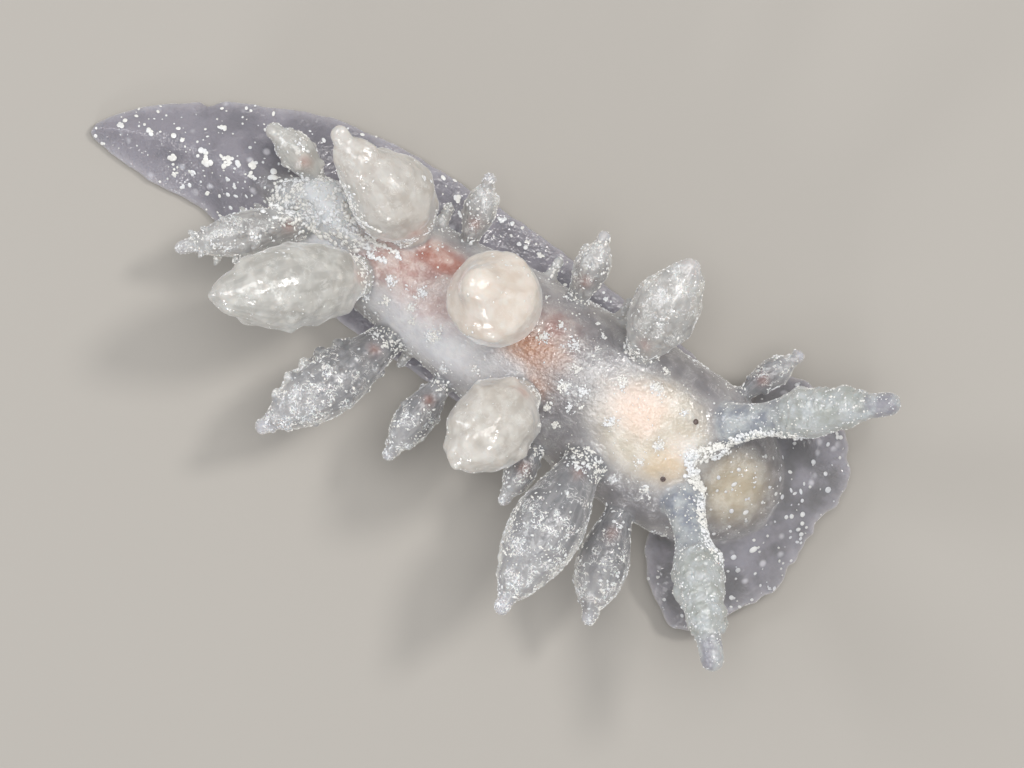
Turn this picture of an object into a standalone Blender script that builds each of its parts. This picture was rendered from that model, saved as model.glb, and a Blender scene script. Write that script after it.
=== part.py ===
"""A young colorful dirona, a translucent sea slug about 20 mm long, crawling with its cerata spread."""

import math
import random

import bmesh
import bpy
from mathutils import Matrix, Vector, noise

# Every mesh is built in millimetres and scaled to metres at the end. +X is towards the head,
# +Y is the animal's left, and the sole lies on z = 0.
MM = 0.001
GAP = 0.3
WELD = 0.001
SEED = 7
COLLECTION = "colorful dirona"

# Sole: thickness of the flange and the rows (x, right margin, left margin) of its outline
SOLE_TOP = 0.55
SOLE_EDGE = 0.42
SOLE_MARGIN = [
    (-10.05, -1.30, -1.02), (-9.80, -1.44, -0.58), (-9.15, -1.47, 0.08), (-8.30, -1.52, 0.75),
    (-7.46, -1.44, 1.29), (-6.95, -1.40, 1.52), (-5.30, -1.66, 2.22), (-3.00, -1.84, 2.56),
    (-0.75, -1.92, 2.60), (1.60, -1.96, 2.51), (3.45, -1.96, 2.33), (5.10, -1.90, 2.18),
    (6.15, -1.62, 1.80), (6.75, -1.10, 1.22), (7.02, -0.55, 0.62),
]
TAIL_END = -5.6
TAIL_RIDGE = [(-10.05, 0.0, 0.2), (-9.0, 0.05, 0.35), (-7.5, 0.25, 0.5), (-6.4, 0.48, 0.6), (-5.6, 0.72, 0.62)]

# Body: rows (x, half width, top) and the stations where one length meets the next
BODY_FLOOR = SOLE_TOP + GAP
BODY = [
    (-5.30, 0.42, 1.42), (-4.60, 0.85, 1.80), (-3.60, 1.18, 2.18), (-2.40, 1.38, 2.58), (-1.00, 1.52, 2.95),
    (0.90, 1.78, 3.25), (3.10, 1.90, 3.35), (5.20, 2.05, 3.28), (6.30, 2.03, 3.02), (7.00, 1.90, 2.74),
    (7.80, 1.52, 2.44), (8.40, 1.02, 2.02), (8.75, 0.52, 1.62),
]
BODY_SIDES = 20
LENGTHS = {
    "torso_rear": (-5.30, -0.35, 9),
    "torso_middle": (-0.05, 2.57, 5),
    "torso_front": (2.87, 4.90, 4),
    "head": (5.20, 8.75, 9),
}

# Buds: (length, x, angle round the body, radius)
BUDS = [
    ("torso_rear", -1.68, 12, 0.30), ("torso_rear", -0.66, 196, 0.26), ("torso_middle", 1.20, 6, 0.28),
    ("torso_front", 3.15, 8, 0.28), ("torso_front", 4.50, 6, 0.26), ("torso_front", 3.88, 176, 0.28),
]

# Cerata: (name, x of root, side, angle up the flank, bearing from the head, rise, length, width, kind)
LEFT = 1
RIGHT = -1
CERATA = [
    ("ceras_left_1", 6.62, LEFT, 8, 67, 4, 1.76, 0.72, "clear"),
    ("ceras_left_2", 3.97, LEFT, 42, 92, 30, 2.87, 1.76, "full"),
    ("ceras_left_3", 2.04, LEFT, 22, 100, 20, 1.86, 0.88, "clear"),
    ("ceras_left_4", -0.89, LEFT, 20, 105, 20, 1.83, 0.82, "clear"),
    ("ceras_left_5", -2.15, LEFT, 50, 161, 35, 3.71, 2.02, "full"),
    ("ceras_left_6", -4.78, LEFT, 15, 166, 10, 1.79, 0.84, "clear"),
    ("ceras_top", 0.84, LEFT, 76, 168, 66, 2.81, 2.26, "full"),
    ("ceras_right_1", 5.66, RIGHT, 14, 73, 3, 2.85, 1.30, "clear"),
    ("ceras_right_2", 4.30, RIGHT, 46, 87, 16, 4.34, 1.80, "clear"),
    ("ceras_right_3", 3.18, RIGHT, 22, 90, 0, 1.64, 0.72, "clear"),
    ("ceras_right_4", 2.15, RIGHT, 62, 100, 32, 2.80, 2.00, "full"),
    ("ceras_right_5", 0.43, RIGHT, 15, 94, 3, 2.35, 0.96, "clear"),
    ("ceras_right_6", -1.23, RIGHT, 14, 112, 10, 4.00, 1.54, "clear"),
    ("ceras_right_7", -2.65, RIGHT, 62, 139, 34, 4.30, 2.00, "full"),
    ("ceras_right_8", -4.40, RIGHT, 74, 136, 0, 3.23, 1.10, "spiky"),
]
# Profiles: (share of the length, share of the half width)
CLEAR_PROFILE = [
    (0, 0.52), (0.12, 0.60), (0.3, 0.84), (0.48, 1.0), (0.66, 0.92), (0.81, 0.62), (0.9, 0.38), (0.96, 0.34),
    (1.0, 0.18),
]
FULL_PROFILE = [
    (0, 0.42), (0.08, 0.55), (0.2, 0.82), (0.36, 0.97), (0.55, 1.0), (0.72, 0.84), (0.85, 0.55), (0.93, 0.30),
    (0.97, 0.22), (1.0, 0.12),
]
CERAS_PROFILE = {"clear": CLEAR_PROFILE, "spiky": CLEAR_PROFILE, "full": FULL_PROFILE}
ROOT_BEND = 0.35
ROOT_DEPTH = 0.75
CERAS_SIDES = {"clear": 3, "spiky": 3, "full": 4}

# Tubercles on the cerata: how many to a square millimetre of length by width, size and standing height
TUBERCLES = {"clear": (2.4, 0.20, 0.24), "spiky": (4.2, 0.14, 0.40), "full": (1.5, 0.23, 0.22)}
TUBERCLE_LEAST = 6
TUBERCLE_SPAN = (0.24, 0.88)
GOLDEN_ANGLE = 137.5
CRINKLE = 0.09
CRINKLE_SIZE = 0.55

# Rhinophores: (name, side, x of root, angle up the flank, bearing, rise, length), and one profile
RHINOPHORES = [
    ("rhinophore_left", LEFT, 6.72, 54, 40, 26, 4.46),
    ("rhinophore_right", RIGHT, 6.77, 63, 47, 26, 4.52),
]
RHINOPHORE_PROFILE = [
    (0, 0.42), (0.1, 0.40), (0.22, 0.43), (0.34, 0.54), (0.46, 0.66), (0.58, 0.68), (0.69, 0.60), (0.77, 0.44),
    (0.85, 0.31), (0.94, 0.31), (0.98, 0.25), (1.0, 0.13),
]

LAMELLA_SHARES = [0.38, 0.46, 0.54, 0.62, 0.70]
LAMELLA_THICK = 0.10
LAMELLA_TILT = 24
CREST_GRAIN = 0.11
CREST_SHARES = [0.10, 0.17, 0.24, 0.31, 0.38]

# Crest on the head between the rhinophores: the apex and the ends of its two arms
CREST_APEX = (6.36, 0.0)
CREST_END = (6.66, 0.34)
CREST_RADIUS = 0.13

# Mouth: its place under the snout, half length and half width of the slit, and the lips round it
MOUTH_X = 8.02
MOUTH_LONG = 0.42
MOUTH_WIDE = 0.09
MOUTH_DEEP = 0.22
LIP_RADIUS = 0.11

# Oral veil: centre of its fan, rows (bearing, reach) of its margin, and its heights
VEIL_CENTRE = (7.3, 0.0)
VEIL_MARGIN = [
    (-112, 2.15), (-97, 2.75), (-74, 3.79), (-59, 3.53), (-45, 3.16), (-17, 2.76), (3, 2.49), (23, 2.96),
    (32, 3.02), (51, 3.25), (84, 3.15), (104, 2.15),
]
VEIL_INNER = 0.9
VEIL_ROOT_Z = 1.62
VEIL_MARGIN_Z = 0.62
VEIL_THICK = 0.56
VEIL_EDGE = 0.36
VEIL_COLUMNS = 28
VEIL_WAVE = 0.13
VEIL_SCALLOP = 0.07

# Eyes: (name, x, y)
EYES = [("eye_left", 5.99, 0.78), ("eye_right", 6.08, -0.77)]
EYE_RADIUS = 0.085
EYE_GAP = 0.1

# Colours: red, green, blue and roughness of each kind of part
FINISHES = {
    "body": (0.55, 0.50, 0.50, 0.30),
    "sole": (0.50, 0.47, 0.52, 0.35),
    "head": (0.66, 0.57, 0.48, 0.30),
    "veil": (0.48, 0.46, 0.48, 0.30),
    "rhinophore": (0.66, 0.72, 0.74, 0.28),
    "clear": (0.62, 0.61, 0.62, 0.22),
    "spiky": (0.64, 0.63, 0.62, 0.22),
    "full": (0.74, 0.71, 0.64, 0.35),
    "eye": (0.03, 0.02, 0.02, 0.15),
}


def smooth(rows, x, column):
    """Read one column of a table at x, on a monotone cubic through its rows."""
    xs = [row[0] for row in rows]
    ys = [row[column] for row in rows]
    x = min(max(x, xs[0]), xs[-1])
    last = len(xs) - 2
    i = next((k for k in range(last + 1) if x <= xs[k + 1]), last)

    def slope(k):
        if k in (0, len(xs) - 1):
            k = min(k, last)
            return (ys[k + 1] - ys[k]) / (xs[k + 1] - xs[k])
        before = (ys[k] - ys[k - 1]) / (xs[k] - xs[k - 1])
        after = (ys[k + 1] - ys[k]) / (xs[k + 1] - xs[k])
        if before * after <= 0:
            return 0.0
        return 2 * before * after / (before + after)

    step = xs[i + 1] - xs[i]
    t = (x - xs[i]) / step
    rise = ys[i + 1] - ys[i]
    start = slope(i) * step
    end = slope(i + 1) * step
    return ys[i] + t * start + t * t * (3 * rise - 2 * start - end) + t ** 3 * (start + end - 2 * rise)


def spread(low, high, count):
    """Give count values from low to high, both ends among them."""
    return [low + (high - low) * i / (count - 1) for i in range(count)]


def signed_power(value, power):
    return math.copysign(abs(value) ** power, value)


def body_point(x, degrees):
    """Find the point on the body's skin at x, with the angle counted from the left flank over the back."""
    half = smooth(BODY, x, 1)
    top = smooth(BODY, x, 2)
    waist = BODY_FLOOR + 0.36 * (top - BODY_FLOOR)
    angle = math.radians(degrees)
    y = half * signed_power(math.cos(angle), 0.9)
    if math.sin(angle) >= 0:
        z = waist + (top - waist) * math.sin(angle) ** 0.85
    else:
        z = waist - (waist - BODY_FLOOR) * abs(math.sin(angle)) ** 0.55
    return Vector((x, y, z))


def body_normal(x, degrees):
    along = body_point(x + 0.05, degrees) - body_point(x - 0.05, degrees)
    around = body_point(x, degrees + 1) - body_point(x, degrees - 1)
    return around.cross(along).normalized()


def flank_angle(side, degrees):
    """Turn an angle up one flank into the angle that body_point takes."""
    return degrees if side == LEFT else 180 - degrees


def link(obj):
    bpy.context.scene.collection.objects.link(obj)
    return obj


def mesh_object(name, bm):
    mesh = bpy.data.meshes.new(name)
    bm.to_mesh(mesh)
    bm.free()
    return link(bpy.data.objects.new(name, mesh))


def loft(name, rings):
    """Skin a row of rings with equal counts of points, and close both ends."""
    bm = bmesh.new()
    rows = [[bm.verts.new(point) for point in ring] for ring in rings]
    for near, far in zip(rows, rows[1:]):
        for i in range(len(near)):
            j = (i + 1) % len(near)
            bm.faces.new((near[i], near[j], far[j], far[i]))
    bm.faces.new(rows[0])
    bm.faces.new(reversed(rows[-1]))
    bmesh.ops.recalc_face_normals(bm, faces=bm.faces)
    return mesh_object(name, bm)


def tube(name, points, radii, bevel_resolution):
    """Make a round tube through points, with a radius at each, as a closed mesh."""
    curve = bpy.data.curves.new(name, "CURVE")
    curve.dimensions = "3D"
    curve.bevel_depth = 1.0
    curve.bevel_resolution = bevel_resolution
    curve.use_fill_caps = True
    spline = curve.splines.new("POLY")
    spline.points.add(len(points) - 1)
    for point, place, radius in zip(spline.points, points, radii):
        point.co = (*place, 1.0)
        point.radius = radius
    obj = link(bpy.data.objects.new(name, curve))
    mesh = bpy.data.meshes.new_from_object(obj.evaluated_get(bpy.context.evaluated_depsgraph_get()))
    matrix = obj.matrix_world.copy()
    bpy.data.objects.remove(obj, do_unlink=True)
    bpy.data.curves.remove(curve)
    bm = bmesh.new()
    bm.from_mesh(mesh)
    bpy.data.meshes.remove(mesh)
    bmesh.ops.remove_doubles(bm, verts=bm.verts, dist=WELD)
    bmesh.ops.recalc_face_normals(bm, faces=bm.faces)
    piece = mesh_object(name, bm)
    piece.matrix_world = matrix
    return piece


def nub(place, normal, radius, height, segments=6, rings=4):
    """Make a small rounded bump, half sunk, that stands out along the normal."""
    bm = bmesh.new()
    bmesh.ops.create_uvsphere(bm, u_segments=segments, v_segments=rings, radius=1.0)
    shape = Matrix.Diagonal((radius, radius, height, 1.0))
    turn = normal.to_track_quat("Z", "Y").to_matrix().to_4x4()
    bmesh.ops.transform(bm, matrix=Matrix.Translation(place) @ turn @ shape, verts=bm.verts)
    return mesh_object("nub", bm)


def apply_boolean(obj, operation, **operand):
    """Apply one exact Boolean to obj, with an object or a collection as its operand."""
    modifier = obj.modifiers.new("cut", "BOOLEAN")
    modifier.operation = operation
    modifier.solver = "EXACT"
    for key, value in operand.items():
        setattr(modifier, key, value)
    old = obj.data
    obj.data = bpy.data.meshes.new_from_object(obj.evaluated_get(bpy.context.evaluated_depsgraph_get()))
    obj.modifiers.clear()
    bpy.data.meshes.remove(old)


def fuse(obj, pieces):
    """Join closed pieces to obj with one union, and remove them."""
    if not pieces:
        return
    group = bpy.data.collections.new("joined")
    bpy.context.scene.collection.children.link(group)
    for piece in pieces:
        for home in piece.users_collection:
            home.objects.unlink(piece)
        group.objects.link(piece)
    apply_boolean(obj, "UNION", operand_type="COLLECTION", collection=group)
    for piece in pieces:
        bpy.data.objects.remove(piece, do_unlink=True)
    bpy.data.collections.remove(group)


def cut(obj, cutter):
    apply_boolean(obj, "DIFFERENCE", object=cutter)


def islands(bm):
    """List the mesh's separate surfaces, each as a list of faces."""
    left = set(bm.faces)
    groups = []
    while left:
        stack = [left.pop()]
        group = list(stack)
        while stack:
            for edge in stack.pop().edges:
                for face in edge.link_faces:
                    if face in left:
                        left.remove(face)
                        stack.append(face)
                        group.append(face)
        groups.append(group)
    return groups


def volume(faces):
    total = 0.0
    for face in faces:
        first, *rest = [vert.co for vert in face.verts]
        total += sum(first.dot(a.cross(b)) for a, b in zip(rest, rest[1:])) / 6
    return total


def tidy(obj):
    """Triangulate obj, weld slivers and keep its largest closed surface."""
    bm = bmesh.new()
    bm.from_mesh(obj.data)
    bmesh.ops.remove_doubles(bm, verts=bm.verts, dist=WELD)
    bmesh.ops.triangulate(bm, faces=bm.faces)
    groups = islands(bm)
    keep = set(max(groups, key=volume))
    bmesh.ops.delete(bm, geom=[face for face in bm.faces if face not in keep], context="FACES")
    bm.to_mesh(obj.data)
    bm.free()


def body_loft(name, low, high, count):
    angles = [360 * i / BODY_SIDES for i in range(BODY_SIDES)]
    stations = spread(low, high, count)
    return loft(name, [[body_point(x, a) for a in angles] for x in stations])


def grown_body():
    """Make the body with a clear skin of GAP all round it, which the parts on it are cut by."""
    body = body_loft("grown_body", LENGTHS["torso_rear"][0], LENGTHS["head"][1], 29)
    bm = bmesh.new()
    bm.from_mesh(body.data)
    bm.normal_update()
    steps = [vert.normal * GAP * vert.calc_shell_factor() for vert in bm.verts]
    for vert, step in zip(bm.verts, steps):
        vert.co += step
    bm.to_mesh(body.data)
    bm.free()
    return body


def sole_ring(x, tail=False):
    """Give the section of the sole at x: flat below, round at both margins, with a ridge on the tail."""
    right = smooth(SOLE_MARGIN, x, 1)
    left = smooth(SOLE_MARGIN, x, 2)
    width = left - right
    lip = min(0.16, 0.3 * width)
    inner = [right + lip + (width - 2 * lip) * share for share in spread(0, 1, 7 if tail else 5)]
    ridge = smooth(TAIL_RIDGE, x, 1) if tail else 0.0
    reach = smooth(TAIL_RIDGE, x, 2)
    middle = (left + right) / 2 if not tail else tail_line(x)

    def top(y):
        return SOLE_TOP + ridge * math.exp(-((y - middle) / reach) ** 2)

    ring = [(right, 0.2), (right + 0.3 * lip, SOLE_EDGE)]
    ring += [(y, top(y)) for y in inner]
    ring += [(left - 0.3 * lip, SOLE_EDGE), (left, 0.2)]
    ring += [(y, 0.0) for y in reversed(inner)]
    return [Vector((x, y, z)) for y, z in ring]


def tail_line(x):
    """Give the y of the tail's ridge, which bends to the right as the tail tip does."""
    share = (TAIL_END - x) / (TAIL_END - SOLE_MARGIN[0][0])
    return -0.95 * share ** 1.6


def make_foot():
    stations = spread(TAIL_END + GAP, 6.15, 13) + [6.75, SOLE_MARGIN[-1][0]]
    return loft("foot", [sole_ring(x) for x in stations])


def make_tail():
    stations = spread(TAIL_END, -9.15, 8) + [-9.8, SOLE_MARGIN[0][0]]
    return loft("tail", [sole_ring(x, tail=True) for x in stations])


def make_length(name):
    low, high, count = LENGTHS[name]
    piece = body_loft(name, low, high, count)
    buds = []
    for owner, x, angle, radius in BUDS:
        if owner == name:
            buds.append(nub(body_point(x, angle), body_normal(x, angle), radius, 0.42, 8, 6))
    fuse(piece, buds)
    return piece


def bend(root, normal, tip, depth):
    """Give a function of the share of length along an axis that leaves the root on its normal."""
    way = tip - root
    lift = root + 0.5 * (way * (1 - ROOT_BEND) + normal * ROOT_BEND * way.length)
    inward = (normal + way.normalized() * 0.5).normalized()

    def place(share):
        if share < 0:
            return root + inward * share * depth
        return root * (1 - share) ** 2 + lift * 2 * share * (1 - share) + tip * share ** 2

    return place


def aim(side, bearing, rise):
    """Give the direction that points at a bearing from the head, out to one side, and up by the rise."""
    turn = math.radians(bearing)
    up = math.radians(rise)
    return Vector((math.cos(turn) * math.cos(up), side * math.sin(turn) * math.cos(up), math.sin(up)))


def frame_at(axis, share, degrees):
    """Give the direction of an axis at a share of its length, and one at right angles to it, turned round."""
    ahead = (axis(share + 0.02) - axis(share - 0.02)).normalized()
    across = ahead.cross(Vector((0, 0, 1))).normalized()
    return ahead, Matrix.Rotation(math.radians(degrees), 3, ahead) @ across


def crinkle(obj, amount, size, offset):
    """Push the points of a full ceras in and out, so that its skin looks creased."""
    bm = bmesh.new()
    bm.from_mesh(obj.data)
    bm.normal_update()
    moves = [vert.normal * amount * noise.noise(vert.co / size + offset) for vert in bm.verts]
    for vert, move in zip(bm.verts, moves):
        vert.co += move
    bm.to_mesh(obj.data)
    bm.free()


def tubercles(axis, kind, length, width):
    """Set rounded tubercles in a loose spiral along a ceras, smaller towards its tip."""
    density, radius, height = TUBERCLES[kind]
    count = max(TUBERCLE_LEAST, round(density * length * width))
    start = random.uniform(0, 360)
    size = min(1.0, 0.55 + 0.3 * width)
    nubs = []
    for i, level in enumerate(spread(*TUBERCLE_SPAN, count)):
        share = level + random.uniform(-0.02, 0.02)
        ahead, out = frame_at(axis, share, start + i * GOLDEN_ANGLE + random.uniform(-15, 15))
        half = smooth(CERAS_PROFILE[kind], share, 1) * width / 2
        scale = size * random.uniform(0.8, 1.15) * (1.15 - 0.4 * share)
        lean = (out + 0.25 * ahead).normalized()
        nubs.append(nub(axis(share) + out * half * 0.92, lean, radius * scale, height * scale))
    return nubs


def make_ceras(row, cutter):
    name, x, side, flank, bearing, rise, length, width, kind = row
    angle = flank_angle(side, flank)
    root = body_point(x, angle)
    normal = body_normal(x, angle)
    axis = bend(root, normal, root + aim(side, bearing, rise) * length, ROOT_DEPTH)
    profile = CERAS_PROFILE[kind]
    points = [axis(-1.0)] + [axis(share) for share, _ in profile]
    radii = [profile[0][1] * width / 2] + [part * width / 2 for _, part in profile]
    piece = tube(name, points, radii, CERAS_SIDES[kind])
    if kind == "full":
        crinkle(piece, CRINKLE, CRINKLE_SIZE, Vector((x, 0, 0)))
    fuse(piece, tubercles(axis, kind, length, width))
    cut(piece, cutter)
    return piece


def lamella(name, axis, share, side):
    """Make one of the low plates round a rhinophore's club, leaning forward."""
    ahead, _ = frame_at(axis, share, 0)
    radius = smooth(RHINOPHORE_PROFILE, share, 1)
    bpy.ops.mesh.primitive_torus_add(
        major_segments=10, minor_segments=3, major_radius=radius + 0.01, minor_radius=LAMELLA_THICK)
    ring = bpy.context.object
    ring.name = name
    lean = Matrix.Rotation(math.radians(-side * LAMELLA_TILT), 4, "Z")
    turn = (lean.to_3x3() @ ahead).to_track_quat("Z", "Y").to_matrix().to_4x4()
    ring.data.transform(Matrix.Translation(axis(share)) @ turn)
    return ring


def make_rhinophore(row, cutter):
    name, side, x, flank, bearing, rise, length = row
    angle = flank_angle(side, flank)
    root = body_point(x, angle)
    normal = body_normal(x, angle)
    axis = bend(root, normal, root + aim(side, bearing, rise) * length, ROOT_DEPTH)
    points = [axis(-1.0)] + [axis(share) for share, _ in RHINOPHORE_PROFILE]
    radii = [RHINOPHORE_PROFILE[0][1]] + [radius for _, radius in RHINOPHORE_PROFILE]
    piece = tube(name, points, radii, 3)
    forms = [lamella("lamella", axis, share, side) for share in LAMELLA_SHARES]
    for share in CREST_SHARES:
        _, out = frame_at(axis, share, 0)
        inner = out * side
        forms.append(nub(axis(share) + inner * smooth(RHINOPHORE_PROFILE, share, 1), inner, CREST_GRAIN, 0.15))
    fuse(piece, forms)
    cut(piece, cutter)
    return piece


def veil_point(bearing, share, level):
    """Give a point of the veil: share 0 is inside the head and 1 is the margin, level is -1 to 1."""
    turn = math.radians(bearing)
    edge = smooth(VEIL_MARGIN, bearing, 1) + VEIL_SCALLOP * math.cos(turn * 11)
    reach = VEIL_INNER + (edge - VEIL_INNER) * share
    fall = VEIL_ROOT_Z + (VEIL_MARGIN_Z - VEIL_ROOT_Z) * share ** 0.8
    wave = VEIL_WAVE * math.sin(turn * 6 + 0.6) * share ** 2
    thick = VEIL_THICK + (VEIL_EDGE - VEIL_THICK) * share ** 3
    x = VEIL_CENTRE[0] + reach * math.cos(turn)
    y = VEIL_CENTRE[1] + reach * math.sin(turn)
    return Vector((x, y, fall + wave + level * thick / 2))


def make_veil(cutter):
    """Make the veil as a fan whose upper and lower faces are split into triangles alike."""
    bm = bmesh.new()
    shares = [0.0, 0.35, 0.65, 0.9, 1.0]
    bearings = spread(VEIL_MARGIN[0][0], VEIL_MARGIN[-1][0], VEIL_COLUMNS)
    upper = [[bm.verts.new(veil_point(b, s, 1 if s < 1 else 0.35)) for s in shares] for b in bearings]
    lower = [[bm.verts.new(veil_point(b, s, -1 if s < 1 else -0.35)) for s in shares] for b in bearings]
    for sheet in (upper, lower):
        for near, far in zip(sheet, sheet[1:]):
            for i in range(len(shares) - 1):
                bm.faces.new((near[i], near[i + 1], far[i + 1]))
                bm.faces.new((near[i], far[i + 1], far[i]))
    rim_upper = [column[-1] for column in upper]
    rim_lower = [column[-1] for column in lower]
    root_upper = [column[0] for column in upper]
    root_lower = [column[0] for column in lower]
    edges = [(rim_upper, rim_lower), (root_upper, root_lower), (upper[0], lower[0]), (upper[-1], lower[-1])]
    for above, below in edges:
        for i in range(len(above) - 1):
            bm.faces.new((above[i], above[i + 1], below[i + 1], below[i]))
    bmesh.ops.recalc_face_normals(bm, faces=bm.faces)
    piece = mesh_object("oral_veil", bm)
    cut(piece, cutter)
    return piece


def back_place(x, y):
    """Find the place on the body's back above x and y."""
    half = smooth(BODY, x, 1)
    angle = math.degrees(math.acos(signed_power(y / half, 1 / 0.9)))
    return body_point(x, angle)


def make_eye(name, x, y):
    bm = bmesh.new()
    bmesh.ops.create_uvsphere(bm, u_segments=8, v_segments=6, radius=EYE_RADIUS)
    bmesh.ops.translate(bm, verts=bm.verts, vec=back_place(x, y) - Vector((0, 0, EYE_RADIUS)))
    return mesh_object(name, bm)


def make_crest():
    """Make the grainy V-shaped crest that runs to the feet of the rhinophores."""
    grains = []
    for side in (LEFT, RIGHT):
        steps = spread(0, 1, 4)
        path = [(CREST_APEX[0] + (CREST_END[0] - CREST_APEX[0]) * s, side * CREST_END[1] * s) for s in steps]
        arm = [back_place(x, y) for x, y in path]
        grains.append(tube("crest", arm, [CREST_RADIUS] * len(arm), 2))
        for (x, y), place in zip(path, arm):
            grains.append(nub(place + Vector((0, 0, CREST_RADIUS * 0.7)), Vector((0, 0, 1)), CREST_GRAIN, 0.12))
    return grains


def make_lips():
    """Make the raised lips round the mouth, on the underside of the snout."""
    bpy.ops.mesh.primitive_torus_add(
        major_segments=12, minor_segments=4, major_radius=1.0, minor_radius=LIP_RADIUS / MOUTH_LONG)
    lips = bpy.context.object
    wide = (MOUTH_WIDE + LIP_RADIUS) / MOUTH_LONG
    shape = Matrix.Diagonal((MOUTH_LONG, MOUTH_LONG * wide, MOUTH_LONG, 1.0))
    lips.data.transform(Matrix.Translation((MOUTH_X, 0, BODY_FLOOR + 0.01)) @ shape)
    return lips


def cut_mouth(head):
    bm = bmesh.new()
    bmesh.ops.create_uvsphere(bm, u_segments=10, v_segments=6, radius=1.0)
    shape = Matrix.Diagonal((MOUTH_LONG, MOUTH_WIDE, MOUTH_DEEP, 1.0))
    bmesh.ops.transform(bm, matrix=Matrix.Translation((MOUTH_X, 0, BODY_FLOOR)) @ shape, verts=bm.verts)
    slit = mesh_object("slit", bm)
    cut(head, slit)
    bpy.data.objects.remove(slit, do_unlink=True)


def cut_sockets(head):
    for _, x, y in EYES:
        bm = bmesh.new()
        bmesh.ops.create_uvsphere(bm, u_segments=10, v_segments=6, radius=EYE_RADIUS + EYE_GAP)
        bmesh.ops.translate(bm, verts=bm.verts, vec=back_place(x, y) - Vector((0, 0, EYE_RADIUS)))
        socket = mesh_object("socket", bm)
        cut(head, socket)
        bpy.data.objects.remove(socket, do_unlink=True)


def make_material(name, finish):
    red, green, blue, roughness = FINISHES[finish]
    material = bpy.data.materials.new(name)
    material.use_nodes = True
    shader = material.node_tree.nodes["Principled BSDF"]
    shader.inputs["Base Color"].default_value = (red, green, blue, 1.0)
    shader.inputs["Roughness"].default_value = roughness
    shader.inputs["Metallic"].default_value = 0.0
    return material


def finish_part(obj, kind, parts):
    """Scale a finished piece to metres, shade it smooth, and file it with its own material."""
    tidy(obj)
    obj.data.transform(Matrix.Scale(MM, 4))
    obj.data.shade_smooth()
    obj.data.materials.clear()
    obj.data.materials.append(make_material(obj.name, kind))
    bpy.context.scene.collection.objects.unlink(obj)
    parts.objects.link(obj)


def main():
    for obj in list(bpy.data.objects):
        bpy.data.objects.remove(obj, do_unlink=True)
    random.seed(SEED)
    parts = bpy.data.collections.new(COLLECTION)
    cutters = bpy.data.collections.new("cutters")
    for collection in (parts, cutters):
        bpy.context.scene.collection.children.link(collection)
    cutter = grown_body()

    finish_part(make_foot(), "sole", parts)
    finish_part(make_tail(), "sole", parts)
    for name in LENGTHS:
        piece = make_length(name)
        if name == "head":
            fuse(piece, make_crest() + [make_lips()])
            cut_mouth(piece)
            cut_sockets(piece)
        finish_part(piece, "head" if name == "head" else "body", parts)
    finish_part(make_veil(cutter), "veil", parts)
    for row in RHINOPHORES:
        finish_part(make_rhinophore(row, cutter), "rhinophore", parts)
    for name, x, y in EYES:
        finish_part(make_eye(name, x, y), "eye", parts)
    for row in CERATA:
        finish_part(make_ceras(row, cutter), row[-1], parts)

    bpy.context.scene.collection.objects.unlink(cutter)
    cutters.objects.link(cutter)
    cutter.data.transform(Matrix.Scale(MM, 4))
    cutter.hide_render = True
    cutter.display_type = "WIRE"


main()
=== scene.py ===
"""The looks of a young colorful dirona: one wet, translucent skin, its white granules and its eye spots."""

import math

import bmesh
import bpy
import numpy as np
from mathutils import Matrix, Vector, kdtree, noise
from mathutils.bvhtree import BVHTree


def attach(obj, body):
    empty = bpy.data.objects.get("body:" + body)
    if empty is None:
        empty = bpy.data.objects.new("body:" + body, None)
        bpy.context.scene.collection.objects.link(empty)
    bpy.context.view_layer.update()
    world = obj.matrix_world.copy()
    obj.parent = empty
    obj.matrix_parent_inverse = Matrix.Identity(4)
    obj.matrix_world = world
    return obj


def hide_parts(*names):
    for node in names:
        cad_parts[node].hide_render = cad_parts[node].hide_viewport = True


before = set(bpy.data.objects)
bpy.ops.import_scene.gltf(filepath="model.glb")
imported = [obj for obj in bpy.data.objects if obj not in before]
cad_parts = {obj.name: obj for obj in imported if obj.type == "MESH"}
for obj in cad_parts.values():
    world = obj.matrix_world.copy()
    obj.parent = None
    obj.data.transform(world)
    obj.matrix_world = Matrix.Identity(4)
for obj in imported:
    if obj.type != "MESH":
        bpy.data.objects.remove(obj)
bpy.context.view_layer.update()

# Everything is modelled in millimetres and scaled to metres at the end. +X is towards the head,
# +Y is the animal's left, and the sole lies on z = 0.
MM = 0.001
rng = np.random.default_rng(11)

# Camera: straight above the back, with the head pointing down to the right of the picture
VIEW_CENTRE = (1.83, -0.84)
VIEW_WIDTH = 24.58
VIEW_HEIGHT = 2.0
VIEW_TURN = 33
LENS = 300.0
SENSOR = 36.0

# Sole: rows (x, right margin, left margin) of its outline, and its thickness
SOLE_MARGIN = [
    (-10.05, -1.30, -1.02), (-9.80, -1.44, -0.58), (-9.15, -1.47, 0.08), (-8.30, -1.52, 0.75),
    (-7.46, -1.44, 1.29), (-6.95, -1.40, 1.52), (-5.30, -1.66, 2.22), (-3.00, -1.84, 2.56),
    (-0.75, -1.92, 2.60), (1.60, -1.96, 2.51), (3.45, -1.96, 2.33), (5.10, -1.90, 2.18),
    (6.15, -1.62, 1.80), (6.75, -1.10, 1.22), (7.02, -0.55, 0.62),
]
SOLE_TOP = 0.50
SOLE_EDGE = 0.24
SOLE_BEVEL = 0.9
# Notch in the left margin of the tail
NOTCH_X = -8.0
NOTCH_DEEP = 0.14
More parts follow.
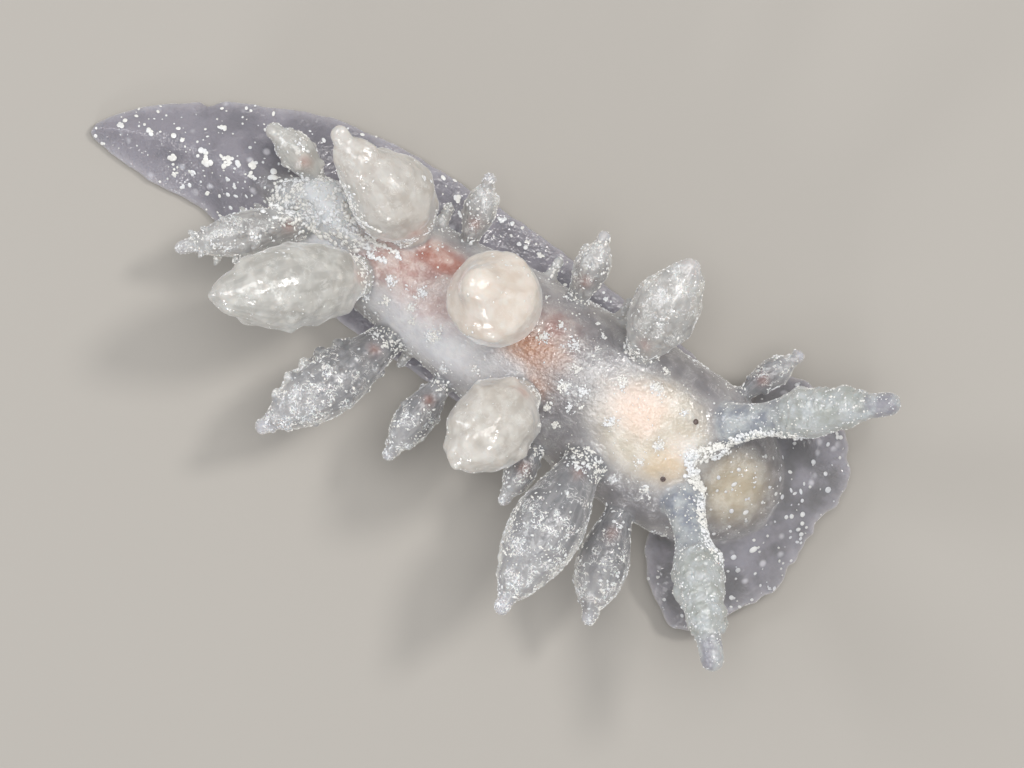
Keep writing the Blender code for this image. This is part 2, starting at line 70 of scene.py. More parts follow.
# Tail: where it leaves the body, how far it bends to the right, and rows (x, height, reach) of its ridge
TAIL_END = -5.6
TAIL_BEND = 0.95
TAIL_RIDGE = [
    (-10.05, 0.0, 0.2), (-9.0, 0.05, 0.35), (-7.5, 0.25, 0.5), (-6.4, 0.48, 0.6), (-5.6, 0.72, 0.62),
    (-4.6, 0.85, 0.7),
]

# Body: its lowest level, how far up it is widest, the powers that round its flanks, back and belly, and
# rows (x, half width, top)
BODY_FLOOR = 0.85
BODY_WAIST = 0.36
FLANK_POWER = 0.9
BACK_POWER = 0.85
BELLY_POWER = 0.55
BODY = [
    (-5.90, 0.20, 1.15), (-5.30, 0.42, 1.42), (-4.60, 0.85, 1.80), (-3.60, 1.18, 2.18), (-2.40, 1.38, 2.58),
    (-1.00, 1.52, 2.95), (0.90, 1.78, 3.25), (3.10, 1.90, 3.35), (5.20, 2.05, 3.28), (6.30, 2.03, 3.02),
    (7.00, 1.90, 2.74), (7.80, 1.52, 2.44), (8.40, 1.02, 2.02), (8.75, 0.52, 1.62),
]
# Column of flesh between body and sole: its ends, and rows (height, right, left) of its width, as a
# share of the body's half width
PEDESTAL = (-5.4, 6.7)
PEDESTAL_ROWS = [(0.2, 0.90, 1.00), (0.5, 0.90, 0.98), (0.8, 0.92, 0.95), (1.2, 0.95, 0.95)]

# Buds on the flanks: (x, angle round the body, radius, height)
BUDS = [
    (-1.68, 12, 0.22, 0.46), (-1.95, 22, 0.18, 0.36), (-0.66, 196, 0.19, 0.44), (1.20, 6, 0.20, 0.46),
    (3.15, 8, 0.20, 0.46), (3.32, 20, 0.15, 0.34), (4.50, 6, 0.18, 0.42), (3.88, 176, 0.20, 0.40),
]

# Cerata: (name, x of root, side, angle up the flank, bearing from the head, rise, length, width, kind,
# how opaque, how warm, how bumpy)
LEFT = 1
RIGHT = -1
CERATA = [
    ("ceras_left_1", 6.62, LEFT, 8, 67, 4, 1.76, 0.72, "clear", 0.05, 0.1, 0.6),
    ("ceras_left_2", 3.97, LEFT, 42, 92, 30, 2.87, 1.64, "soft", 0.55, 0.25, 0.8),
    ("ceras_left_3", 2.04, LEFT, 22, 100, 20, 1.86, 0.88, "clear", 0.35, 0.25, 0.7),
    ("ceras_left_4", -0.89, LEFT, 20, 105, 20, 1.83, 0.82, "clear", 0.35, 0.2, 0.7),
    ("ceras_left_5", -2.15, LEFT, 50, 161, 35, 3.71, 2.02, "horned", 0.85, 0.5, 1.0),
    ("ceras_left_6", -4.78, LEFT, 15, 166, 10, 1.79, 0.88, "blunt", 0.85, 0.15, 0.7),
    ("ceras_top", 0.84, LEFT, 76, 168, 66, 2.81, 2.26, "round", 1.0, 1.0, 0.3),
    ("ceras_right_1", 5.66, RIGHT, 14, 73, 3, 2.85, 1.30, "clear", 0.05, 0.3, 0.45),
    ("ceras_right_2", 4.30, RIGHT, 46, 87, 16, 4.34, 1.80, "clear", 0.05, 0.2, 0.5),
    ("ceras_right_3", 3.18, RIGHT, 22, 90, 0, 1.64, 0.72, "clear", 0.05, 0.3, 0.6),
    ("ceras_right_4", 2.15, RIGHT, 62, 100, 32, 2.80, 2.00, "full", 0.95, 0.45, 1.2),
    ("ceras_right_5", 0.43, RIGHT, 15, 94, 3, 2.35, 0.96, "clear", 0.1, 0.1, 0.8),
    ("ceras_right_6", -1.23, RIGHT, 14, 112, 10, 4.00, 1.54, "clear", 0.08, 0.1, 0.8),
    ("ceras_right_7", -2.65, RIGHT, 62, 139, 34, 4.30, 2.00, "full", 0.9, 0.15, 1.0),
    ("ceras_right_8", -4.40, RIGHT, 74, 136, 0, 3.23, 1.10, "spiky", 0.4, 0.3, 1.0),
]
# Profiles: (share of the length, share of the half width), with a blunt knob of nearly one size at the tip
CLEAR_PROFILE = [
    (-1, 0.54), (0, 0.54), (0.12, 0.62), (0.3, 0.86), (0.46, 1.0), (0.64, 0.90), (0.80, 0.58), (1.0, 0.20),
]
FULL_PROFILE = [
    (-1, 0.44), (0, 0.44), (0.08, 0.57), (0.2, 0.83), (0.36, 0.97), (0.55, 1.0), (0.72, 0.84), (0.86, 0.54),
    (1.0, 0.20),
]
SOFT_PROFILE = [
    (-1, 0.50), (0, 0.50), (0.10, 0.62), (0.26, 0.84), (0.40, 1.0), (0.56, 0.97), (0.74, 0.72), (0.88, 0.48),
    (1.0, 0.34),
]
HORNED_PROFILE = [
    (-1, 0.46), (0, 0.46), (0.08, 0.62), (0.20, 0.88), (0.35, 1.04), (0.46, 1.0), (0.60, 0.83), (0.72, 0.70),
    (0.82, 0.55), (0.90, 0.38), (1.0, 0.24),
]
# Knob at the tip: its radius, a share of the ceras' width that is added to it, and, in its radii, how far
# from the tip the ceras begins to widen and over what length
KNOB = {
    "clear": (0.12, 0.045, 1.4, 2.4), "blunt": (0.21, 0.0, 0.6, 2.0), "spiky": (0.12, 0.045, 1.4, 2.4),
    "soft": (0.24, 0.0, 0.5, 1.4), "full": (0.15, 0.0, 0.3, 1.5), "horned": (0.24, 0.0, 1.2, 1.4),
    "round": (0.48, 0.0, 0.0, 2.5),
}
CERAS_PROFILE = {
    "clear": CLEAR_PROFILE, "blunt": CLEAR_PROFILE, "spiky": CLEAR_PROFILE, "soft": SOFT_PROFILE,
    "full": FULL_PROFILE, "horned": HORNED_PROFILE, "round": FULL_PROFILE,
}
# Dent on the outer side of the horned ceras: its depth, its middle and reach as shares of the length, and
# how far it is turned towards the underside
HORN_DENT = 0.60
HORN_DENT_AT = 0.79
HORN_DENT_REACH = 0.20
HORN_DENT_TURN = 30
# Round blisters along the rear edge of one ceras: its name, their shares of the length, their radius and
# how far they are turned round its axis
BLISTERED = "ceras_right_6"
BLISTERS = (0.30, 0.42, 0.54, 0.66, 0.78)
BLISTER_RADIUS = 0.17
BLISTER_TURN = -15
# Share of the body's normal in the way an axis starts, and how deep its root reaches into the body
ROOT_BEND = 0.35
ROOT_DEPTH = 0.75

# Tubercles on the cerata: how many to a square millimetre of length by width, size and standing height
TUBERCLES = {
    "clear": (7.5, 0.14, 0.13), "blunt": (7.5, 0.14, 0.13), "spiky": (8.0, 0.11, 0.34),
    "soft": (6.0, 0.13, 0.08),
}
GOLDEN_ANGLE = 137.5
# Kinds of clear and of full cerata, and the low peaks on the full ones: how far apart and how high
CLEAR_KINDS = ["clear", "blunt", "spiky"]
FULL_KINDS = ["full", "horned", "round"]
PEAK_SPACING = 0.58
PEAK_HEIGHT = 0.11

# Rhinophores: rows as for the cerata, up to the length, and one profile for both
RHINOPHORES = [
    ("rhinophore_left", 6.72, LEFT, 54, 40, 26, 4.46),
    ("rhinophore_right", 6.77, RIGHT, 63, 47, 26, 4.52),
]
RHINOPHORE_PROFILE = [
    (-1, 0.50), (0, 0.50), (0.1, 0.42), (0.22, 0.38), (0.33, 0.45), (0.40, 0.55), (0.48, 0.60), (0.57, 0.58),
    (0.63, 0.52), (0.67, 0.48), (0.72, 0.48), (0.76, 0.42), (0.80, 0.34), (0.84, 0.30), (0.93, 0.29),
    (0.97, 0.25), (0.99, 0.17), (1.0, 0.08),
]
# Plates and lobes of the clubs, and how far up its stalk each arm of the crest runs
LAMELLAE = 12
LAMELLA_SPAN = (0.38, 0.80)
LAMELLA_THICK = 0.034
LOBES = 11
LOBE_SPAN = (0.42, 0.78)
CREST_REACH = 0.36

# Crest on the head between the rhinophores: x of its apex, and (x, y) where an arm meets its stalk
CREST_APEX = 6.36
CREST_END = (6.98, 0.66)
CREST_RADIUS = 0.11

# White mound behind the last cerata: its height, and where the white of the back ends
FROST_MOUND = 0.42
FROST_END = -2.0

# Mouth: its place under the snout, half length and half width of the slit, and the lips round it
MOUTH_X = 8.02
MOUTH_LONG = 0.42
MOUTH_WIDE = 0.09
MOUTH_DEEP = 0.22
LIP_RADIUS = 0.11

# Oral veil: centre of its fan, rows (bearing, reach) of its margin, and its heights
VEIL_CENTRE = (7.3, 0.0)
VEIL_MARGIN = [
    (-112, 2.15), (-97, 2.75), (-74, 3.79), (-59, 3.53), (-45, 3.16), (-17, 2.76), (3, 2.49), (23, 2.96),
    (32, 3.02), (51, 3.25), (84, 3.15), (104, 2.15),
]
VEIL_INNER = 0.9
VEIL_ROOT_Z = 1.62
VEIL_MARGIN_Z = 0.62
VEIL_THICK = 0.50
VEIL_EDGE = 0.20
VEIL_WAVE = 0.13
VEIL_SCALLOP = 0.07

# How far the pale rim of the sole and veil reaches inwards
RIM_REACH = 0.16

# Eyes: (CAD node, x, y), the radius of the pigment cup and how far it stands out of the skin
EYES = [("eye_left", 5.99, 0.78), ("eye_right", 6.08, -0.77)]
EYE_RADIUS = 0.09
EYE_PROUD = 0.028

# Skin: size of the cells it is remeshed with, rounds of smoothing, and its most triangles
CELL = 0.040
SMOOTH_ROUNDS = 4
MELT_REACH = 9
MELT_FADE = 0.88
MELT_ROUNDS = 40
SKIN_TRIANGLES = 196000
SKIN_CLEARNESS = 0.20
CERAS_CLEARNESS = 0.20
STREAKS_ROUND = 5.0


def srgb(*colour):
    """Turn a colour as a screen shows it, 0 to 255, into the linear values that a shader takes."""
    shown = [value / 255 for value in colour]
    return (*(v / 12.92 if v <= 0.04045 else ((v + 0.055) / 1.055) ** 2.4 for v in shown), 1.0)


def smooth(rows, x, column):
    """Read one column of a table at x, on a monotone cubic through its rows."""
    xs = [row[0] for row in rows]
    ys = [row[column] for row in rows]
    x = min(max(x, xs[0]), xs[-1])
    last = len(xs) - 2
    i = next((k for k in range(last + 1) if x <= xs[k + 1]), last)

    def slope(k):
        if k in (0, len(xs) - 1):
            k = min(k, last)
            return (ys[k + 1] - ys[k]) / (xs[k + 1] - xs[k])
        before = (ys[k] - ys[k - 1]) / (xs[k] - xs[k - 1])
        after = (ys[k + 1] - ys[k]) / (xs[k + 1] - xs[k])
        if before * after <= 0:
            return 0.0
        return 2 * before * after / (before + after)

    step = xs[i + 1] - xs[i]
    t = (x - xs[i]) / step
    rise = ys[i + 1] - ys[i]
    start = slope(i) * step
    end = slope(i + 1) * step
    return ys[i] + t * start + t * t * (3 * rise - 2 * start - end) + t ** 3 * (start + end - 2 * rise)


def spread(low, high, count):
    """Give count values from low to high, both ends among them."""
    return [low + (high - low) * i / (count - 1) for i in range(count)]


def full_turn(count):
    """Give count angles round a full turn, in radians."""
    return [2 * math.pi * i / count for i in range(count)]


def ease(value):
    """Give 0 below 0, 1 above 1 and a smooth step between."""
    value = np.clip(value, 0, 1)
    return value * value * (3 - 2 * value)


def signed_power(value, power):
    return math.copysign(abs(value) ** power, value)


def body_point(x, degrees):
    """Find the point on the body's skin at x, with the angle counted from the left flank over the back."""
    half = smooth(BODY, x, 1)
    top = smooth(BODY, x, 2)
    waist = BODY_FLOOR + BODY_WAIST * (top - BODY_FLOOR)
    angle = math.radians(degrees)
    y = half * signed_power(math.cos(angle), FLANK_POWER)
    if math.sin(angle) >= 0:
        z = waist + (top - waist) * math.sin(angle) ** BACK_POWER
    else:
        z = waist - (waist - BODY_FLOOR) * abs(math.sin(angle)) ** BELLY_POWER
    return Vector((x, y, z))


def body_normal(x, degrees):
    along = body_point(x + 0.05, degrees) - body_point(x - 0.05, degrees)
    around = body_point(x, degrees + 1) - body_point(x, degrees - 1)
    return around.cross(along).normalized()


def back_place(x, y):
    """Find the place on the body's back above x and y."""
    half = smooth(BODY, x, 1)
    angle = math.degrees(math.acos(signed_power(y / half, 1 / FLANK_POWER)))
    return body_point(x, angle)


def tail_line(x):
    """Give the y of the tail's ridge, which bends to the right as the tail tip does."""
    share = max(0.0, (TAIL_END - x) / (TAIL_END - SOLE_MARGIN[0][0]))
    return -TAIL_BEND * share ** 1.6


def axis_of(row):
    """Give a function that finds the place at a share of the length along a ceras or rhinophore."""
    _, x, side, flank, bearing, rise, length = row[:7]
    angle = flank if side == LEFT else 180 - flank
    turn = math.radians(bearing)
    up = math.radians(rise)
    root = body_point(x, angle)
    normal = body_normal(x, angle)
    aim = Vector((math.cos(turn) * math.cos(up), side * math.sin(turn) * math.cos(up), math.sin(up)))
    tip = root + aim * length
    way = tip - root
    lift = root + 0.5 * (way * (1 - ROOT_BEND) + normal * ROOT_BEND * way.length)
    inward = (normal + way.normalized() * 0.5).normalized()

    def place(share):
        if share < 0:
            return root + inward * share * ROOT_DEPTH
        return root * (1 - share) ** 2 + lift * 2 * share * (1 - share) + tip * share ** 2

    return place


def frame_at(axis, share, degrees):
    """Give the direction of an axis at a share of its length, and one across it, turned round it."""
    share = max(share, 0.0)
    ahead = (axis(share + 0.02) - axis(max(share - 0.02, 0.0))).normalized()
    across = ahead.cross(Vector((0, 0, 1))).normalized()
    return ahead, Matrix.Rotation(math.radians(degrees), 3, ahead) @ across


def ceras_radius(kind, share, length, width):
    """Give the radius of a ceras at a share of its length: a leaf shape that ends in a round knob."""
    leaf = smooth(CERAS_PROFILE[kind], share, 1) * width / 2
    base, growth, neck, widening = KNOB[kind]
    knob = base + growth * width
    left = (1 - share) * length
    sunk = 1 - min(left / knob, 1)
    round_end = knob * math.sqrt(1 - sunk * sunk)
    blend = ease((left / knob - neck) / widening)
    return round_end + (leaf - round_end) * float(blend)


class Forms:
    """The closed forms that the skin is drawn over, with the owner and share of length of each point."""

    def __init__(self):
        self.points = []
        self.faces = []
        self.owners = []
        self.shares = []

    def add(self, owner, points, faces, shares):
        start = len(self.points)
        self.points += [tuple(point) for point in points]
        self.faces += [tuple(start + i for i in face) for face in faces]
        self.owners += [owner] * len(points)
        self.shares += shares

    def add_rings(self, owner, rings, shares):
        """Add a closed form through rings with equal counts of points."""
        size = len(rings[0])
        points = [point for ring in rings for point in ring]
        faces = []
        for row in range(len(rings) - 1):
            for i in range(size):
                j = (i + 1) % size
                low = row * size
                faces.append((low + i, low + j, low + size + j, low + size + i))
        faces.append(tuple(reversed(range(size))))
        faces.append(tuple(range((len(rings) - 1) * size, len(rings) * size)))
        self.add(owner, points, faces, [share for share in shares for _ in range(size)])

    def add_blob(self, owner, place, normal, radius, height, share, sides=10):
        """Add a small rounded form, half sunk, that stands out along the normal."""
        turn = normal.to_track_quat("Z", "Y").to_matrix()
        rings = []
        for level in spread(-0.98, 0.98, 7):
            wide = radius * math.sqrt(1 - level * level)
            rings.append([
                place + turn @ Vector((wide * math.cos(angle), wide * math.sin(angle), height * level))
                for angle in full_turn(sides)])
        self.add_rings(owner, rings, [share] * len(rings))


def add_tube(forms, owner, axis, radius_at, shares, sides=28):
    """Add a round form along an axis. radius_at takes the share and the angle in degrees."""
    angles = [360 * i / sides for i in range(sides)]
    rings = []
    for share in shares:
        outs = [frame_at(axis, share, angle)[1] for angle in angles]
        rings.append([axis(share) + out * radius_at(share, angle) for out, angle in zip(outs, angles)])
    forms.add_rings(owner, rings, list(shares))


def sole_ring(x):
    """Give the section of the sole at x: flat below, thin at both margins, with the ridge of the tail."""
    notch = NOTCH_DEEP * math.exp(-((x - NOTCH_X) / 0.16) ** 2)
    ripple = 0.025 * math.sin(3.1 * x) + 0.015 * math.sin(7.7 * x + 1)
    right = smooth(SOLE_MARGIN, x, 1) + abs(ripple)
    left = smooth(SOLE_MARGIN, x, 2) - notch - abs(ripple)
    width = left - right
    ridge = smooth(TAIL_RIDGE, x, 1)
    reach = smooth(TAIL_RIDGE, x, 2)
    middle = tail_line(x)

    def top(y):
        inset = min(y - right, left - y) / SOLE_BEVEL
        hump = ridge * math.exp(-((y - middle) / reach) ** 2)
        return SOLE_EDGE + (SOLE_TOP - SOLE_EDGE) * ease(inset) + hump

    lip = min(0.12, 0.3 * width)
    inner = spread(right + lip, left - lip, 30)
    ring = [(right, SOLE_EDGE * 0.45), (right + 0.25 * lip, SOLE_EDGE * 0.85)]
    ring += [(y, top(y)) for y in inner]
    ring += [(left - 0.25 * lip, SOLE_EDGE * 0.85), (left, SOLE_EDGE * 0.45)]
    ring += [(y, 0.0) for y in reversed(inner)]
    return [Vector((x, y, z)) for y, z in ring]


def add_sole(forms):
    stations = spread(SOLE_MARGIN[0][0], SOLE_MARGIN[-1][0], 170)
    forms.add_rings("sole", [sole_ring(x) for x in stations], [0.0] * len(stations))


def add_body(forms):
    """Add the body, and the narrow column of flesh that joins it to the sole."""
    stations = spread(BODY[0][0], BODY[-1][0], 130)
    angles = [360 * i / 64 for i in range(64)]
    forms.add_rings("body", [[body_point(x, a) for a in angles] for x in stations], [0.0] * len(stations))
    rings = []
    for x in spread(*PEDESTAL, 60):
        half = smooth(BODY, x, 1)
        ring = [Vector((x, half * left, z)) for z, _, left in PEDESTAL_ROWS]
        ring += [Vector((x, -half * right, z)) for z, right, _ in reversed(PEDESTAL_ROWS)]
        rings.append(ring)
    forms.add_rings("body", rings, [0.0] * len(rings))
    for x, angle, radius, height in BUDS:
        normal = body_normal(x, angle)
        for step, wide in ((0.2, 0.85), (0.5, 0.66), (0.8, 0.66)):
            place = body_point(x, angle) + normal * height * step
            forms.add_blob("bud", place, normal, radius * wide, radius * 1.1, step)


def veil_reach(bearing):
    """Give how far the veil's scalloped margin is from the middle of its fan."""
    turn = math.radians(bearing)
    scallops = VEIL_SCALLOP * math.cos(turn * 11) + 0.035 * math.sin(turn * 23 + 0.5)
    scallops += 0.02 * math.sin(turn * 41)
    return smooth(VEIL_MARGIN, bearing, 1) + scallops


def veil_point(bearing, share, level):
    """Give a point of the veil: share 0 is inside the head and 1 is the margin, level is -1 to 1."""
    turn = math.radians(bearing)
    reach = VEIL_INNER + (veil_reach(bearing) - VEIL_INNER) * share
    fall = VEIL_ROOT_Z + (VEIL_MARGIN_Z - VEIL_ROOT_Z) * share ** 0.8
    wave = VEIL_WAVE * math.sin(turn * 6 + 0.6) * share ** 2 + 0.05 * math.sin(turn * 15) * share ** 3
    thick = VEIL_THICK + (VEIL_EDGE - VEIL_THICK) * share ** 1.5
    x = VEIL_CENTRE[0] + reach * math.cos(turn)
    y = VEIL_CENTRE[1] + reach * math.sin(turn)
    return Vector((x, y, fall + wave + level * thick / 2))


def add_veil(forms):
    """Add the veil as a fan: each ring goes out along its upper face and back along its lower one."""
    shares = spread(0, 0.985, 22)
    rings = []
    for bearing in spread(VEIL_MARGIN[0][0], VEIL_MARGIN[-1][0], 150):
        ring = [veil_point(bearing, share, 1) for share in shares]
        ring.append(veil_point(bearing, 1.0, 0.0))
        ring += [veil_point(bearing, share, -1) for share in reversed(shares)]
        rings.append(ring)
    forms.add_rings("veil", rings, [0.5] * len(rings))


def add_ceras(forms, row):
    name = row[0]
    length, width, kind, _, _, bumpy = row[6:]
    axis = axis_of(row)

    def radius_at(share, degrees=0.0):
        radius = ceras_radius(kind, share, length, width)
        if kind == "horned":
            outer = max(0.0, math.cos(math.radians(degrees - HORN_DENT_TURN)))
            radius *= 1 - HORN_DENT * outer * math.exp(-((share - HORN_DENT_AT) / HORN_DENT_REACH) ** 2)
        return radius

    add_tube(forms, name, axis, radius_at, [-1.0, -0.5] + spread(0, 0.95, 40) + spread(0.96, 0.997, 8))
    if name == BLISTERED:
        for share in BLISTERS:
            _, out = frame_at(axis, share, BLISTER_TURN)
            place = axis(share) + out * radius_at(share) * 0.97
            forms.add_blob(name, place, out, BLISTER_RADIUS, BLISTER_RADIUS, share)
    if kind not in TUBERCLES:
        return
    density, radius, height = TUBERCLES[kind]
    count = max(10, round(density * length * width))
    start = rng.uniform(0, 360)
    for i, level in enumerate(spread(0.14, 0.9, count)):
        share = level + rng.uniform(-0.02, 0.02)
        ahead, out = frame_at(axis, share, start + i * GOLDEN_ANGLE + rng.uniform(-18, 18))
        half = radius_at(share)
        scale = rng.uniform(0.7, 1.2) * (1.12 - 0.35 * share) * min(1.0, 0.6 + 0.3 * width)
        if bumpy < 0.6:
            scale *= 0.4 + 0.6 * float(ease(2.5 * share - 0.6))
        lean = (out + (0.25 + 0.5 * (kind == "spiky")) * ahead).normalized()
        place = axis(share) + out * half * 0.95
        forms.add_blob(name, place, lean, radius * scale, height * scale * bumpy, share)


def stalk_radius(share, degrees=0.0):
    """Give the radius of a rhinophore, the same all round."""
    return smooth(RHINOPHORE_PROFILE, share, 1)


def add_rhinophore(forms, row):
    """Add a rhinophore: a stalk with a crest, a club with frilled plates, and a smooth finger."""
    name, _, side = row[:3]
    axis = axis_of(row)
    shares = [-1.0, -0.5] + spread(0, 0.96, 60) + [0.975, 0.985, 0.993, 1.0]
    add_tube(forms, name, axis, stalk_radius, shares)
    for share in spread(*LAMELLA_SPAN, LAMELLAE):
        add_lamella(forms, name, axis, share, side)
    for share in spread(*LOBE_SPAN, LOBES):
        _, out = frame_at(axis, share, rng.uniform(0, 360))
        radius = rng.uniform(0.16, 0.28)
        place = axis(share) + out * stalk_radius(share) * 0.9
        forms.add_blob(name, place, out, radius, radius * 0.6, share)
    for share in spread(0.0, CREST_REACH, 14):
        inner = crest_side(axis, share, side)
        forms.add_blob(name, axis(share) + inner * stalk_radius(share) * 0.97, inner, 0.12, 0.10, share)


def crest_side(axis, share, side):
    """Give the direction from a stalk's axis to its crest, which is on the front, towards the middle."""
    _, out = frame_at(axis, share, 0)
    return (out * side + Vector((0, 0, 0.5))).normalized()


def add_lamella(forms, owner, axis, share, side):
    """Add one plate of a club: a ring with a wavy rim, leaning forward."""
    ahead, _ = frame_at(axis, share, 0)
    lean = Matrix.Rotation(math.radians(-side * 24), 3, "Z") @ ahead
    across = lean.cross(Vector((0, 0, 1))).normalized()
    other = lean.cross(across)
    reach = stalk_radius(share) - 0.012
    phase = rng.uniform(0, 6.3)
    rings = []
    for angle in full_turn(40):
        out = across * math.cos(angle) + other * math.sin(angle)
        wavy = reach * (1 + 0.06 * math.sin(7 * angle + phase) + 0.03 * math.sin(13 * angle))
        centre = axis(share) + out * wavy
        rings.append([
            centre + (out * math.cos(turn) * 1.2 + lean * math.sin(turn)) * LAMELLA_THICK
            for turn in full_turn(8)])
    size = len(rings[0])
    points = [point for ring in rings for point in ring]
    faces = []
    for row in range(len(rings)):
        after = (row + 1) % len(rings)
        for i in range(size):
            j = (i + 1) % size
            faces.append((row * size + i, after * size + i, after * size + j, row * size + j))
    forms.add(owner, points, faces, [share] * len(points))


def crest_place(step, side):
    """Find the place on the back at a step from the crest's apex to one stalk."""
    return back_place(CREST_APEX + (CREST_END[0] - CREST_APEX) * step, side * CREST_END[1] * step)


def add_crest(forms):
    """Add the raised arms of the V-shaped crest, from its apex to both stalks."""
    for side in (LEFT, RIGHT):
        for step in spread(0, 1, 9):
            place = crest_place(step, side)
            forms.add_blob("crest", place, Vector((0, 0, 1)), CREST_RADIUS, CREST_RADIUS, 0.0)


def add_lips(forms):
    for angle in full_turn(24):
        place = Vector((MOUTH_X + MOUTH_LONG * math.cos(angle),
                        (MOUTH_WIDE + LIP_RADIUS) * math.sin(angle), BODY_FLOOR + 0.02))
        forms.add_blob("body", place, Vector((0, 0, -1)), LIP_RADIUS, LIP_RADIUS, 0.0, 8)


def apply_modifier(obj, kind, **settings):
    """Apply one modifier to obj."""
    modifier = obj.modifiers.new("step", kind)
    for key, value in settings.items():
        setattr(modifier, key, value)
    old = obj.data
    depsgraph = bpy.context.evaluated_depsgraph_get()
    obj.data = bpy.data.meshes.new_from_object(obj.evaluated_get(depsgraph))
    obj.modifiers.clear()
    bpy.data.meshes.remove(old)


def read(items, field, width, kind=float):
    """Read one field of a mesh's points, edges or triangles, as rows."""
    values = np.empty(len(items) * width, kind)
    items.foreach_get(field, values)
    return values.reshape(-1, width)


def read_points(mesh):
    return read(mesh.vertices, "co", 3)


def read_normals(mesh):
    return read(mesh.vertex_normals, "vector", 3, np.float32).astype(float)


def read_edges(mesh):
    return read(mesh.edges, "vertices", 2, np.int32)


def write_points(mesh, points):
    mesh.vertices.foreach_set("co", points.ravel())
    mesh.update()


def average(values, edges):
    """Give each point the mean of its neighbours' values."""
    total = np.zeros_like(values)
    count = np.zeros(len(values))
    for near, far in ((0, 1), (1, 0)):
        np.add.at(total, edges[:, near], values[edges[:, far]])
        np.add.at(count, edges[:, near], 1)
    return total / (count[:, None] if values.ndim == 2 else count)


def even_out(mesh, rounds):
    """Smooth a mesh without shrinking it, by steps in and out in turn."""
    points = read_points(mesh)
    edges = read_edges(mesh)
    for _ in range(rounds):
        for step in (0.5, -0.52):
            points += step * (average(points, edges) - points)
    write_points(mesh, points)


def melt_joins(mesh, forms):
    """Round the creases where two forms meet, as soft flesh is rounded there."""
    points = read_points(mesh)
    edges = read_edges(mesh)
    owners, _ = nearest_forms(forms, points)
    owners[owners == "crest"] = "body"
    crossing = (owners[edges[:, 0]] != owners[edges[:, 1]]).astype(float)
    near = np.zeros(len(points))
    for end in (0, 1):
        np.maximum.at(near, edges[:, end], crossing)
    for _ in range(MELT_REACH):
        grown = near.copy()
        for end in (0, 1):
            np.maximum.at(grown, edges[:, end], near[edges[:, 1 - end]] * MELT_FADE)
        near = grown
    near *= (near > 0.35) * (points[:, 2] > 0.12)
    for _ in range(MELT_ROUNDS):
        points += 0.6 * near[:, None] * (average(points, edges) - points)
    write_points(mesh, points)


def add_object(name, data):
    """Put a new object in the scene."""
    obj = bpy.data.objects.new(name, data)
    bpy.context.scene.collection.objects.link(obj)
    return obj


def new_object(name, points, faces):
    mesh = bpy.data.meshes.new(name)
    mesh.from_pydata(points, [], faces)
    mesh.update()
    return add_object(name, mesh)


def gather_forms():
    forms = Forms()
    add_sole(forms)
    add_body(forms)
    add_veil(forms)
    add_crest(forms)
    add_lips(forms)
    for row in CERATA:
        add_ceras(forms, row)
    for row in RHINOPHORES:
        add_rhinophore(forms, row)
    return forms


def make_skin(forms):
    """Draw one skin over all the forms."""
    obj = new_object("skin", forms.points, forms.faces)
    apply_modifier(obj, "REMESH", mode="VOXEL", voxel_size=CELL, use_smooth_shade=True)
    even_out(obj.data, SMOOTH_ROUNDS)
    melt_joins(obj.data, forms)
    count = len(obj.data.polygons) * 2
    if count > SKIN_TRIANGLES:
        apply_modifier(obj, "DECIMATE", ratio=SKIN_TRIANGLES / count, use_collapse_triangulate=True)
    return obj


def nearest_forms(forms, points):
    """Find for each point of the skin the owner and the share of length of the nearest form."""
    tree = kdtree.KDTree(len(forms.points))
    for i, point in enumerate(forms.points):
        tree.insert(point, i)
    tree.balance()
    found = [tree.find(point)[1] for point in points]
    owners = np.array(forms.owners, dtype=object)[found]
    shares = np.array(forms.shares)[found]
    return owners, shares


def fleck(points, size, offset):
    """Give smooth noise, about -1 to 1, at each point."""
    return np.array([noise.noise(Vector(point) / size + Vector((offset, 0, 0))) for point in points])


def cell_edges(points, size):
    """Give how far each point is inside its cell of a crazed pattern: 0 on the cell's edge."""
    values = []
    for point in points:
        near, far = noise.voronoi(Vector(point) / size)[0][:2]
        values.append(far - near)
    return np.array(values)


def ceras_values(owners, column):
    """Give one column of the cerata's table at each point, and 0 elsewhere."""
    values = np.zeros(len(owners))
    for row in CERATA:
        values[owners == row[0]] = row[column]
    return values


def patch(points, normals, x, y, long, wide, turn=0.0, edge=0.5):
    """Give a soft oval mark on the upper side, 1 inside and 0 outside."""
    angle = math.radians(turn)
    dx = points[:, 0] - x
    dy = points[:, 1] - y
    along = (dx * math.cos(angle) + dy * math.sin(angle)) / long
    across = (dy * math.cos(angle) - dx * math.sin(angle)) / wide
    far = np.hypot(along, across)
    return ease((1 + edge / 2 - far) / edge) * ease(normals[:, 2] * 2 + 0.6)


# Spot on each ceras: its distance from the root and its reach
ROOT_SPOT_AT = 0.62
ROOT_SPOT_REACH = 0.14

